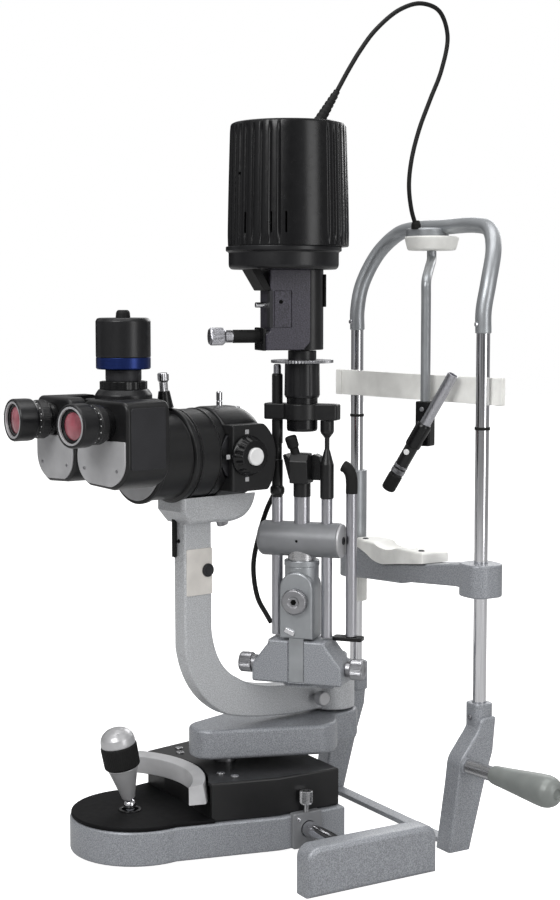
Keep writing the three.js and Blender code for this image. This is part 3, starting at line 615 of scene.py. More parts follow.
def make_camera():
    data = bpy.data.cameras.new("camera")
    data.lens = CAMERA_LENS
    data.sensor_width = 36
    data.clip_end = 50
    camera = bpy.data.objects.new("camera", data)
    bpy.context.scene.collection.objects.link(camera)
    a, p = math.radians(CAMERA_AZIMUTH), math.radians(CAMERA_PITCH)
    look = Vector((-math.sin(a) * math.cos(p), math.cos(a) * math.cos(p), -math.sin(p)))
    camera.location = CAMERA_AT
    camera.rotation_mode = "QUATERNION"
    camera.rotation_quaternion = look.to_track_quat("-Z", "Y")
    bpy.context.scene.camera = camera


def area_light(name, at, aim, size, watts):
    data = bpy.data.lights.new(name, "AREA")
    data.shape = "RECTANGLE"
    data.size, data.size_y = size
    data.energy = watts
    light = bpy.data.objects.new(name, data)
    bpy.context.scene.collection.objects.link(light)
    light.location = at
    light.rotation_mode = "QUATERNION"
    light.rotation_quaternion = (Vector(aim) - Vector(at)).to_track_quat("-Z", "Y")


BAND_STOPS = ((0.1, 0.9), (0.22, 0.12), (0.34, 1.0), (0.62, 1.0), (0.7, 0.15), (0.82, 0.9), (0.93, 0.2))


def make_studio():
    world = bpy.data.worlds.new("studio")
    bpy.context.scene.world = world
    world.use_nodes = True
    nodes, links = world.node_tree.nodes, world.node_tree.links
    background = nodes["Background"]
    coords = nodes.new("ShaderNodeTexCoord")
    split = nodes.new("ShaderNodeSeparateXYZ")
    links.new(coords.outputs["Generated"], split.inputs["Vector"])
    sky = nodes.new("ShaderNodeValToRGB")
    sky.color_ramp.elements[0].color = (0.34, 0.34, 0.35, 1)
    sky.color_ramp.elements[1].color = (0.8, 0.8, 0.8, 1)
    sky.color_ramp.elements[0].position = 0.05
    sky.color_ramp.elements[1].position = 0.6
    links.new(split.outputs["Z"], sky.inputs["Fac"])
    around = nodes.new("ShaderNodeMapRange")
    around.inputs["From Min"].default_value = -1
    links.new(split.outputs["X"], around.inputs["Value"])
    bands = nodes.new("ShaderNodeValToRGB")
    for at, grey in BAND_STOPS:
        bands.color_ramp.elements.new(at).color = (grey, grey, grey, 1)
    links.new(around.outputs["Result"], bands.inputs["Fac"])
    banded = nodes.new("ShaderNodeMix")
    banded.data_type = "RGBA"
    banded.blend_type = "MULTIPLY"
    banded.inputs["Factor"].default_value = 1
    links.new(sky.outputs["Color"], banded.inputs["A"])
    links.new(bands.outputs["Color"], banded.inputs["B"])
    light_path = nodes.new("ShaderNodeLightPath")
    shown = nodes.new("ShaderNodeMix")
    shown.data_type = "RGBA"
    links.new(light_path.outputs["Is Camera Ray"], shown.inputs["Factor"])
    links.new(banded.outputs["Result"], shown.inputs["A"])
    shown.inputs["B"].default_value = (1, 1, 1, 1)
    links.new(shown.outputs["Result"], background.inputs["Color"])
    background.inputs["Strength"].default_value = 1.0
    bpy.context.scene.view_settings.view_transform = "Standard"
    centre = (0, -0.1, 0.35)
    area_light("key", (1.0, -1.8, 1.6), centre, (1.2, 1.0), 26)
    area_light("fill", (1.9, 0.4, 0.8), centre, (0.7, 1.6), 11)
    area_light("back", (-1.2, 1.5, 1.3), centre, (1.4, 1.0), 13)
    area_light("top", (0.1, -0.2, 2.2), centre, (1.6, 1.6), 18)


def make_floor():
    shape = bmesh.new()
    bmesh.ops.create_grid(shape, x_segments=8, y_segments=8, size=6000)
    floor = loose(shape, "floor")
    floor.data.transform(Matrix.Scale(MM, 4))
    paint = Paint("floor_card", 0.9, specular=0.1)
    paint.colour(paint.ramp(paint.noise(4, 3.0), [(0.3, (0.5, 0.5, 0.5)), (0.7, (0.52, 0.52, 0.52))]))
    paint.shader.inputs["Emission Color"].default_value = (1, 1, 1, 1)
    ray = paint.nodes.new("ShaderNodeLightPath")
    paint.links.new(ray.outputs["Is Camera Ray"], paint.shader.inputs["Emission Strength"])
    floor.data.materials.append(paint.material)
    floor.location.z = -0.0004


make_camera()
make_studio()
make_floor()


# Cords
CORD_ROUTE = [
    (10, -76.2, 753.8),
    (7, -61, 775.5),
    (4.2, -44.8, 796.7),
    (0.5, -24.3, 818.6),
    (-5.6, 9.9, 842.9),
    (-11.2, 41.5, 852.6),
    (-16, 68, 847),
    (-18, 79.6, 824),
    (-16.5, 71, 787.6),
    (-13.5, 54.3, 755.2),
    (-10.7, 38.5, 723.2),
    (-8.8, 27.9, 691.7),
    (-8.2, 24.5, 665),
    (-8.9, 28.4, 640.2),
    (-10.1, 35.2, 623.6),
]
CORD_D = 4.6
LEAD_ROUTE = [
    (-36, 16, 350),
    (-45, 21, 334),
    (-52, 18, 309),
    (-56, 12, 278),
    (-50, 8, 246),
    (-40, 6, 230),
    (-34, 4, 222),
]
LEAD_D = 5.0


def tube_cord(name, route, diameter, at, body, node):
    """A rubber cord along its CAD route, with its path and its length."""
    line = catmull(route, 14)
    made = piece(name, "rubber", sweep(line, diameter / 2, 20), at, body, node)
    path = [at @ (p * MM) for p in line]
    length = sum((b - a).length for a, b in zip(path, path[1:]))
    return made, path, length


def cords():
    body = "slit_head"
    cord, path, length = tube_cord("lamp_cord_jacket", CORD_ROUTE, CORD_D, WORLD, body, "lamp_cord")
    start = Vector((15.2, -106, 714))
    along = Vector(CORD_ROUTE[0]) - start
    profile = [(0, 0), (6.5, 0), (6.5, 3)]
    for k in range(8):
        z = 4 + k * (along.length - 7) / 8
        r = 6.4 - 3.0 * z / along.length
        profile += [(r, z), (r, z + 2.2), (r - 0.9, z + 2.5), (r - 0.9, z + 3.4)]
    profile += [(3.3, along.length - 1), (0, along.length - 1)]
    boot = lathe(soft(profile, 0.25, 2), 40)
    spin = Vector((0, 0, 1)).rotation_difference(along.normalized()).to_matrix().to_4x4()
    boot = moved(turned(boot, spin), *start)
    relief = piece("cord_relief_boot", "rubber", boot, WORLD, body, "cord_relief")
    lead, path, length = tube_cord("tower_lead_jacket", LEAD_ROUTE, LEAD_D, TOWER, "tower",
                                   "tower_lead")


cords()


# Headrest
def headrest():
    low, high = box_in("tie_bar", WORLD)
    solid = slab(rounded(low.x, high.x, low.y, high.y, 0.8), low.z, high.z, 0.8)
    on_root("tie_bar_flat", "hammertone", solid, "tie_bar")
    for word, side in (("right", 1), ("left", -1)):
        bracket(word, side)
        column(word)
        hand_grip(word, side)
    bow()
    forehead_band()
    bow_hub()


def bracket(word, side):
    _, high = box_in("bracket_" + word, WORLD)
    column_low, column_high = box_in("column_" + word, WORLD)
    x = abs(column_low.x + column_high.x) / 2
    y = (column_low.y + column_high.y) / 2
    leg = [
        (-18.8, -12), (5.7, -12), (27, 66), (37, 96), (40, 128), (40, 131), (22, 131), (19, 120),
        (-4, 91), (-7, 66),
    ]
    plate = slab_x(soft(leg, 6, 5, closed=True), 104.3, 127.5, 2.5)
    block = slab(rounded(x - 11.5, x + 11.5, y - 11, y + 11, 7), 112, high.z, 1.5)
    bore = plug(7.1, 120, 150)
    table = slab(rounded(80, 150, -60, 60, 1), -30, 0, 0.1)
    whole = cut(union(plate, block), moved(bore, x, y), table)
    on_root("bracket_casting_" + word, "hammertone", flipped(whole, side), "bracket_" + word)
    pin = moved(outwards(screw_head(2.6)), side * x, y - 11.4, high.z - 14)
    on_root("bracket_screw_" + word, "steel", pin)


def column(word):
    low, high = box_in("column_" + word, WORLD)
    x, y = (low.x + high.x) / 2, (low.y + high.y) / 2
    solid = moved(rod(6.75, low.z, high.z, 0.6, 72), x, y)
    on_root("column_tube_" + word, "chrome", solid, "column_" + word)
    mark = ring(6.72, 7.7, 418.4, 421.4)
    on_root("canthus_ring_" + word, "rubber", moved(mark, x, y))


def hand_grip(word, side):
    start = (128.7, 3, 86)
    turn = 7
    shaft = [(0, -1.5), (7.3, -1.5), (7.3, 37), (0, 37)]
    grip = [
        (0, 36), (7.6, 36), (8.8, 38), (9.4, 42), (10.6, 55), (12, 69), (13.6, 84), (15, 98),
        (15.5, 106),
    ]
    grip += [(14.9, 111), (13, 115.5), (9.6, 119), (5.2, 121), (4.8, 118.5), (0, 118)]
    for name, look, profile, stand in (
        ("grip_shaft_", "bright_steel", soft(shaft, 0.6), None),
        ("grip_handle_", "grip_paint", soft(grip, 1.2), "hand_grip_" + word),
    ):
        shape = moved(spun(along_x(lathe(profile, 96)), turn), *start)
        on_root(name + word, look, flipped(shape, side), stand or ())
    flange = moved(spun(along_x(rod(8.8, -1.4, 3, 0.5)), turn), *start)
    on_root("grip_flange_" + word, "hammertone", flipped(flange, side))


BOW_TUBE = [
    (COLUMN_X, COLUMN_Y, 514), (COLUMN_X, COLUMN_Y, 536), (112, 36, 564), (101.5, 50, 598),
    (80.5, 61, 618), (54.5, 64, 623),
]


def bow_line(steps=12):
    far = [(-x, y, z) for x, y, z in reversed(BOW_TUBE)]
    return catmull([*BOW_TUBE, (0, 64, 623), *far], steps)


def bow():
    line = bow_line(14)
    ends = [moved(plug(6.95, 500, 530.5, 40), side * COLUMN_X, COLUMN_Y) for side in (1, -1)]
    tube = cut(sweep(line, 8, 40, 0.8), *ends)
    on_root("bow_pipe", "silver_paint", tube, "bow_tube")
    for word, side in (("right", 1), ("left", -1)):
        pin = spun(outwards(screw_head(2.4, 2.2)), -16 * side)
        pin = moved(pin, side * COLUMN_X, COLUMN_Y - 7.8, 523)
        on_root("bow_screw_" + word, "chrome", pin)


def forehead_band():
    low, high = box_in("forehead_band", WORLD)
    slope = math.atan2(high.y - low.y - 2.4, high.x - low.x)
    length = (high.x - low.x) / math.cos(slope)
    centre = (low + high) / 2
    half = (high.z - low.z) / 2
    rows = []
    steps = 90
    for i in range(steps + 1):
        t = i / steps - 0.5
        sag = -1.6 * math.cos(math.pi * t)
        thick = 1.15 if abs(t) < 0.44 else 0.9
        tall = half * (1 - 0.012 * math.cos(TAU * t))
        u = t * (length - 1)
        profile = [(-thick, -tall), (thick, -tall), (thick, tall), (-thick, tall)]
        corners = soft(profile, 0.6, 3, closed=True)
        rows.append([(u, v + sag, w) for v, w in corners])
    strap = moved(spun(rings_to_solid(rows), math.degrees(slope)), *centre)
    on_root("forehead_strap", "white_plastic", strap, "forehead_band")
    for word, side in (("right", 1), ("left", -1)):
        clip = slab_x(rounded(-2.2, 2.2, -half - 0.4, half + 0.4, 1.4), -5, 5, 0.6)
        inner = slab_x(rounded(-1.3, 1.3, -half - 2, half + 2, 0.8), -9, 9, 0.1)
        shape = moved(cut(clip, inner), side * (length / 2 - 6), 0, 0)
        shape = moved(spun(shape, math.degrees(slope)), *centre)
        on_root("strap_clip_" + word, "white_plastic", shape)


def bow_hub():
    x, y, foot = (c / MM for c in JOINTS["fixation_swing"]["pos_m"])
    foot += 0.4
    clear = sweep(bow_line(10), 8.05, 32)
    step = foot + 14.2
    profile = [(0, step), (22.5, step), (22.6, step + 7.5), (21, step + 8.9), (0, step + 8.9)]
    upper = spindle(profile, 0.8, 80)
    on_root("hub_top_disc", "silver_paint", cut(moved(upper, x - 4, y - 3), clear), "bow_hub")
    white = [
        (0, foot), (24.6, foot), (25.8, foot + 1.4), (28.3, foot + 11), (28.5, foot + 13.4),
        (27.6, step + 0.2), (0, step + 0.2),
    ]
    solid = cut(moved(spindle(white, 0.8, 96), x, y), sweep(bow_line(10), 8.05, 32))
    on_root("hub_white_disc", "white_plastic", solid)
    end = CORD_ROUTE[-1]
    gland = spindle([(0, -3), (5, -3), (5, 2), (3.4, 6), (0, 6)], 0.6, 40)
    on_root("hub_gland", "rubber", moved(gland, *end))


headrest()


# Rails, axle and wheels
def rails():
    for word, side in (("right", 1), ("left", -1)):
        low, high = box_in("rail_" + word, WORLD)
        x0, x1 = sorted((abs(low.x), abs(high.x)))
        outline = Outline(high.y, 0).to((high.y, 30)).arc(high.y - 13, 34, 13, 0, 90)
        outline.arc(low.y + 13, 34, 13, 90, 180)
        outline.to((low.y, 0))
        hood = slab_x(outline, x0, x1, 5)
        below = slab(rounded(x0 - 10, x1 + 10, low.y - 10, high.y + 10, 1), -20, 0, 0.1)
        inner = Outline(high.y - 5, -5).to((high.y - 5, 30)).arc(high.y - 15, 32, 10, 0, 90)
        inner.arc(low.y + 15, 32, 10, 90, 180).to((low.y + 5, -5))
        hollow = slab_x(inner, x0 - 8, x1 - 3.2, 0.5)
        whole = cut(hood, below, hollow)
        on_root("rail_hood_" + word, "hammertone", flipped(whole, side), "rail_" + word)
        teeth = Outline(low.y + 8, 0.2)
        pitch = 2.5
        count = int((high.y - low.y - 16) / pitch)
        for i in range(count):
            y = low.y + 8 + i * pitch
            teeth.to((y, 7), (y + pitch * 0.25, 9), (y + pitch * 0.6, 9), (y + pitch * 0.85, 7))
        teeth.to((low.y + 8 + count * pitch, 0.2))
        rack = slab_x(teeth, x0 + 1.5, x1 - 3.4, 0.1)
        on_root("rail_rack_" + word, "steel", flipped(rack, side))
        wheel(word)
    low, high = box_in("axle", WORLD)
    y, z = (low.y + high.y) / 2, (low.z + high.z) / 2
    solid = moved(along_x(rod(8, low.x, high.x, 0.8, 72)), 0, y, z)
    piece("axle_rod", "chrome", solid, WORLD, "cross_axle", "axle")


def wheel(word):
    node = "axle_wheel_" + word
    low, high = box_in(node, WORLD)
    centre = (low + high) / 2
    half = (high.x - low.x) / 2
    gear = ring(8.35, 12.7, -half, half, 0.5, 208, knurl(26, 0.55))
    piece("wheel_gear_" + word, "steel", moved(along_x(gear), *centre), WORLD, "wheels", node)


rails()


# Chin rest
def chin_rest():
    low, high = box_in("chin_rest_arm", WORLD)
    side = Outline(116, 260).to((116, 285), (95, 283), (0, 270), (-29, 266))
    side.quad(-44, 266, -58, 272)
    side.quad(-72, 276, -86, 276)
    side.to((-112, 276), (-112, 241), (-76, 244), (-1, 249), (-1, 251), (92, 260))
    arm = slab_y(soft(side.points, 1.5, 3, closed=True), 12, 42, 2.5)
    clamp = slab(rounded(93, 132, 10.8, 49.2, 14), 252, 285.2, 2)
    profile = [
        (0, low.z), (18, low.z), (18, 274), (15, 276.4), (10.5, 277.5), (10.5, 350), (0, 350),
    ]
    boss = spindle(profile, 1.2, 72)
    bores = [moved(plug(7.0, 230, 380), s * COLUMN_X, COLUMN_Y) for s in (1, -1)]
    whole = cut(union(arm, clamp, moved(boss, -COLUMN_X, COLUMN_Y)), *bores)
    piece("chin_arm_casting", "hammertone", whole, WORLD, "chin_rest", "chin_rest_arm")
    solid = moved(ring(7.05, 11.2, 279, high.z, 0.8), -COLUMN_X, COLUMN_Y)
    piece("chin_sleeve", "silver_paint", solid, WORLD, "chin_rest")
    cup_side = Outline(43.5, 300).to((43.5, 276.5), (0, 270.5), (-28, 266.4))
    cup_side.quad(-44, 266.4, -58, 272.4)
    cup_side.quad(-72, 276.4, -86, 276.6).to((-92, 276.6), (-92, 300))
    plan = Outline(43, 8).to((43, 42)).quad(10, 42, -4, 38).quad(-26, 54, -48, 40)
    plan.quad(-74, 46, -91, 40)
    plan.to((-91, 16)).quad(-60, 4, -20, 8)
    body = slab(soft(plan.points, 2, 3, closed=True), 250, 287, 2.2)
    body = combined(body, [slab_y(cup_side, -5, 65, 0.1)], "INTERSECT")
    angles = [math.radians(-88 + 4 * k) for k in range(28)]
    curve = [(60 * math.cos(a), 60 * math.sin(a)) for a in angles]
    bowl = lathe([(0, -60)] + curve + [(0, 30)], 72)
    solid = cut(body, moved(bowl, -25, 32, 337.5))
    piece("chin_dish", "white_plastic", solid, WORLD, "chin_rest", "chin_cup")
    for word, x in (("left", -76), ("right", 28)):
        profile = [(0, -3), (3.4, -3), (3.4, 0.6), (2.4, 1.5), (0, 1.6)]
        pin = moved(spindle(profile, 0.3, 32), x, 18, 286.6)
        piece("paper_pin_" + word, "graphite", pin, WORLD, "chin_rest")
    nut_low, nut_high = box_in("chin_height_nut", WORLD)
    grip = ring(7.05, 11.8, nut_low.z, nut_high.z, 1.2, 144, knurl(36, 0.22))
    solid = moved(grip, -COLUMN_X, COLUMN_Y)
    piece("chin_nut_ring", "white_plastic", solid, WORLD, "chin_nut", "chin_height_nut")


chin_rest()


# Fixation lamp
def fixation():
    x, y, top = (c / MM for c in JOINTS["fixation_swing"]["pos_m"])
    cx, cy = FIX_AT[0] / MM - x, FIX_AT[1] / MM - y
    low, high = box_in("fixation_rod", WORLD)
    path = [
        (0, 0, 0), (0, 0, -8), (cx * 0.5, cy * 0.5, -20), (cx, cy, -34), (cx, cy, -50),
        (cx, cy, low.z - top),
    ]
    crank = moved(sweep(catmull(path, 16), 5, 32), x, y, top)
    piece("fixation_crank", "silver_paint", crank, WORLD, "fixation_arm", "fixation_rod")
    low, high = box_in("fixation_clamp", FIX)
    centre = (low + high) / 2
    block = slab(rounded(low.x, high.x, low.y, high.y, 2.2), low.z, high.z, 1.2)
    socket = moved(plug(5.25, high.z - 12, high.z + 2, 40), centre.x, centre.y)
    solid = cut(block, socket)
    piece("fixation_block", "black_gloss", solid, FIX, "fixation_swivel", "fixation_clamp")
    head = moved(outwards(screw_head(2.4, 1.4)), centre.x, low.y + 0.1, high.z - 8)
    piece("fixation_block_screw", "steel", head, FIX, "fixation_swivel")
    light(centre.x, low.y)


def light(x, face_y):
    """The lamp tube in front of its swivel block."""
    z = JOINTS["fixation_tilt"]["pos_m"][2] / MM
    tilt = 31
    tip = [(0, -67), (6.2, -67), (7.3, -65), (7.3, -49), (5.4, -48), (0, -48)]
    barrel = [(0, -49), (6.4, -49), (6.8, -47), (6.8, -13), (0, -13)]
    collar = [(0, -14), (7.5, -14), (8, -12), (8, 11), (6.6, 14), (0, 14)]
    tube = [(0, 13), (5.6, 13), (5.6, 73), (4.8, 73), (4.6, 68), (0, 68)]
    knurled = [(0, -46), (7.0, -46), (7.0, -41), (0, -41)]
    knurled_low = [(0, -39), (7.0, -39), (7.0, -36.5), (0, -36.5)]
    for name, look, profile, edge, wave, n in (
        ("light_tip", "rubber", tip, 0.8, None, 64),
        ("light_barrel", "black", barrel, 0.5, None, 64),
        ("light_collar", "black_gloss", collar, 0.8, None, 64),
        ("light_tube", "tube_silver", tube, 0.3, None, 64),
        ("light_knurl", "steel", knurled, 0.3, knurl(30, 0.3), 120),
        ("light_knurl_low", "steel", knurled_low, 0.3, knurl(30, 0.3), 120),
    ):
        shape = moved(spun(spindle(profile, edge, n, wave), tilt, "Y"), x, face_y - 8, z)
        stands = "fixation_lamp" if name == "light_barrel" else ()
        piece(name, look, shape, FIX, "fixation_light", stands)
    dot = moved(outwards(rod(3.0, 6.2, 7.6, 0.4)), 0, 0, -20)
    solid = moved(spun(dot, tilt, "Y"), x, face_y - 8, z)
    piece("light_dot", "white_mark", solid, FIX, "fixation_light")
    pivot = moved(outwards(rod(3.2, -12, 8, 0.5)), x, face_y, z)
    piece("light_pivot", "steel", pivot, FIX, "fixation_light")


fixation()


# Base
FRONT_R = 67
SIDE = 90


def wedge(grow):
    """The base's plan: a round nose towards the operator and a broad end under the axle."""
    nose_y = box_in("base_frame", BASE)[0].y + FRONT_R
    rear_y = box_in("base_frame", BASE)[1].y
    r = FRONT_R + grow
    lean = 9
    dx, dy = r * math.cos(math.radians(lean)), r * math.sin(math.radians(lean))
    shape = Outline(-SIDE - grow, rear_y + grow).to((-SIDE - grow, -163), (-dx, nose_y + dy))
    shape.arc(0, nose_y, r, 180 - lean, 360 + lean, 48)
    return shape.to((SIDE + grow, -163), (SIDE + grow, rear_y + grow))


def base():
    low, high = box_in("base_frame", BASE)
    wall = slab(wedge(0), low.z, 38, 2.5)
    under = slab(wedge(-6), low.z - 5, 33, 0.2)
    axle_low, axle_high = box_in("axle", WORLD)
    axle_y, axle_z = (axle_low.y + axle_high.y) / 2, (axle_low.z + axle_high.z) / 2
    webs = slab_x(rounded(axle_y - 14, axle_y + 14, axle_z - 12, axle_z + 12, 3), -86, 86, 0.5)
    bore = moved(along_x(plug(8.3, -120, 120)), 0, axle_y, axle_z)
    whole = cut(union(cut(wall, under), webs), bore)
    on_base("base_casting", "hammertone", whole, "base_frame")
    for word, side in (("right", 1), ("left", -1)):
        lug = slab_x(rounded(axle_y - 18, axle_y + 16, low.z, 40, 3), 85.6, 94, 1.2)
        hole = moved(along_x(plug(8.6, 60, 120)), 0, axle_y, axle_z)
        on_base("base_lug_" + word, "plain_grey", flipped(cut(lug, hole), side))
        pin = moved(along_x(screw_head(2.2)), 93.6, axle_y - 12, 34)
        on_base("lug_screw_" + word, "chrome", flipped(pin, side))
    guide = rod(11, 33, high.z, 0.8)
    on_base("guide_column", "steel", moved(guide, 0, GUIDE_Y))
    base_covers()
    low, high = box_in("lock_screw", BASE)
    x, y = (low.x + high.x) / 2, (low.y + high.y) / 2
    shank = spindle([(0, low.z), (2.5, low.z), (2.5, low.z + 8), (0, low.z + 8)], 0.3, 32)
    profile = [
        (0, low.z + 7.8), (5.2, low.z + 7.8), (6.3, low.z + 9.5), (6.3, high.z - 1), (0, high.z),
    ]
    head = spindle(profile, 0.5, 144, knurl(36, 0.22))
    solid = moved(gathered(shank, head), x, y)
    piece("lock_screw_head", "bright_steel", solid, BASE, "base_lock", "lock_screw")


def base_covers():
    """The front deck, the raised rear cover and the curved trim between them."""
    deck = slab(wedge(-1.2), 38.2, 42, 1.2)
    hole = moved(plug(9, 30, 60), JOY_X, JOY_Y)
    away = slab(rounded(-130, 130, -228, 10, 1), 30, 60, 0.1)
    on_base("base_deck", "matt_black", cut(deck, hole, away), "base_top_plate")
    ball_ring = moved(ring(8.2, 11.5, 41.2, 43.2, 0.7), JOY_X, JOY_Y)
    on_base("joystick_ring", "black_gloss", ball_ring)

    top = box_in("base_cover", BASE)[1].z
    cover = slab(wedge(-4.5), 38.2, top, 2.2)
    ahead = slab(rounded(-130, 130, -420, -229.5, 1), 20, 120, 0.1)
    room = slab(wedge(-8.5), 30, top - 3.5, 0.3)
    nose = moved(plug(111.6, 57.8, 120, 160), 0, TRIM_Y)
    foot = moved(plug(98.5, 20, 120, 160), 0, TRIM_Y)
    disc = moved(plug(113.5, 30, 70, 160), 0, TRIM_Y)
    sill = combined(slab(wedge(-5), 38.3, 57.6, 0.3), [disc], "INTERSECT")
    well = moved(plug(11.6, 20, 120, 64), 0, GUIDE_Y)
    solid = cut(union(cut(cover, room), sill), ahead, nose, foot, well)
    on_base("base_hood", "black", solid, "base_cover")

    profile = [(96, 58), (111.5, 58), (108.3, 78.5), (96, 76)]
    band = moved(lathe(soft(profile, 1.0, 3, closed=True), 200, closed=True), 0, TRIM_Y)
    keep = slab(wedge(-3), 50, 90, 1.0)
    front = slab(rounded(-130, 130, -440, -258, 1), 20, 120, 0.1)
    trim = combined(cut(band, front), [keep], "INTERSECT")
    on_base("base_trim_band", "trim_silver", trim, "base_trim")
    for side in (-1, 1):
        for k in range(2):
            x = side * (44 + 16 * k)
            y = -205 + 7 * k
            pin = moved(screw_head(4.2, 1.4), x, y, top - 0.1)
            on_base(f"hood_screw_{'right' if side > 0 else 'left'}_{k}", "bright_steel", pin)


base()


# Joystick
def joystick():
    ball = [(6.2 * math.cos(math.radians(a)), 6.2 * math.sin(math.radians(a))) for a in range(-90, 91,
        6)]
    ball[0], ball[-1] = (0, -6.2), (0, 6.2)
    piece("joystick_knuckle", "chrome", lathe(ball, 64), STICK, "joystick_lever", "joystick_ball")
    cone = [
        (0, 6.8), (5.6, 6.8), (6.6, 8), (7, 10.5), (14.6, 38), (15.4, 39.5), (15.2, 40.5),
        (0, 40.5),
    ]
    solid = spindle(cone, 0.5, 96)
    piece("joystick_cone", "cone_silver", solid, STICK, "joystick_lever", "joystick_stem")
    sleeve = [(0, 41), (16.6, 41), (17.6, 42.5), (18, 62.5), (17.4, 64), (0, 64)]
    solid = spindle(sleeve, 0.5, 216, knurl(54, 0.18))
    piece("joystick_sleeve", "rubber", solid, STICK, "joystick_handle", "joystick_grip")
    cap = [
        (0, 63.8), (16.8, 63.8), (17.2, 64.8), (17.2, 68), (16.4, 72), (14, 75.8), (10.2, 78.8),
        (5.4, 80.7), (0, 81),
    ]
    piece("joystick_cap", "cone_silver", spindle(cap, 0.8, 96), STICK, "joystick_handle")


joystick()


# Carriage
def carriage():
    low, high = box_in("carriage", BASE)
    axis_y = JOINTS["scope_swing"]["pos_m"][1] / MM
    nose = axis_y - 168
    top = 115
    body = Outline(-58, axis_y - 52).to((-22, nose + 14)).quad(-16, nose, 0, nose)
    body.quad(16, nose, 22, nose + 14)
    body.to((58, axis_y - 52)).quad(62, axis_y - 26, 30, axis_y - 14).to((24, axis_y + 16))
    body.arc(0, axis_y + 4, 24, 30, 150).to((-30, axis_y - 14))
    body.quad(-62, axis_y - 26, -58, axis_y - 52)
    whole = slab(soft(body.points, 4, 4, closed=True), low.z, top, 4)
    well = moved(plug(11.5, 60, 112, 64), 0, GUIDE_Y)
    piece("carriage_casting", "hammertone", cut(whole, well), BASE, "lift_carriage", "carriage")
    pin = moved(rod(9, top - 3, high.z, 0.8), 0, axis_y)
    piece("swing_pin", "bright_steel", pin, BASE, "lift_carriage")


carriage()


# Microscope
def microscope():
    scope_arm()
    magnification()
    back_tube()
    splitter()
    camera_module()
    for word, side in (("right", 1), ("left", -1)):
        prism(word, side)
        eyepiece(word, side)


def scope_arm():
    side = Outline(22, 118.6).to((-52, 118.6)).quad(-120, 122, -150, 133).quad(-192, 155, -200, 205)
    side.to((-200.5, 334), (-167, 334), (-166.5, 222)).quad(-162, 182, -134, 168)
    side.quad(-108, 151, -52, 151)
    side.to((22, 151))
    beam = slab_x(side, -9, 9, 2.2)
    hub = rod(24, 117, 151.4, 2.0, 96)
    bore = plug(9.2, 100, 180, 64)
    lobe = Outline(-212, 362).to((-212, 343)).quad(-206, 336, -200.5, 330).to((-167, 330))
    lobe.quad(-150, 327, -135, 333)
    lobe.quad(-120, 341, -119, 362)
    cradle = slab_x(lobe, -22, 22, 5)
    barrel = moved(outwards(plug(46.1, 60, 260, 128)), 0, 0, OPTIC_Z)
    room = slab(rounded(-60, 60, -190, -100, 1), 361, 480, 0.2)
    whole = cut(union(beam, hub, cut(cradle, barrel, room)), bore)
    on_scope("scope_arm_casting", "pale_hammertone", whole, "scope_arm")
    label = slab_x(rounded(-198, -167.2, 258, 304, 1.2), 8.6, 10.2, 0.4)
    on_scope("arm_label_plate", "cream_plate", label)
    profile = [(0, 9.5), (6.6, 9.5), (6.6, 12), (5.4, 12.4), (4.4, 11.6), (0, 11.4)]
    stopper = moved(along_x(spindle(profile, 0.4, 48)), 0, -173, 282)
    on_scope("arm_socket", "graphite", stopper)
    dot = moved(outwards(rod(2.0, 200.2, 201.3, 0.2)), 0, 0, 312)
    on_scope("arm_dot", "dark_dot_and_hole_shade", dot)
    strip = slab_y(rounded(-7.5, -2.5, 296, 345, 0.8), -203.6, -200.9, 0.3)
    on_scope("arm_cable_strip", "rubber", strip)
    clamp = moved(spun(rod(5.6, -4, 15, 0.6, 96, knurl(24, 0.25)), -160, "X"), 0, -151, 338)
    on_scope("cradle_screw", "steel", clamp)
    low, high = box_in("scope_lock_knob", SCOPE)
    y, z = (low.y + high.y) / 2, (low.z + high.z) / 2
    profile = [(0, 0), (3, 0), (3, 6), (6.6, 6.6), (7.4, 8), (7.4, 15), (6.2, 16), (0, 16)]
    knob = spindle(profile, 0.4, 120, knurl(30, 0.2))
    solid = moved(along_x(knob), low.x, y, z)
    piece("scope_lock_head", "cone_silver", solid, SCOPE, "scope_lock", "scope_lock_knob")


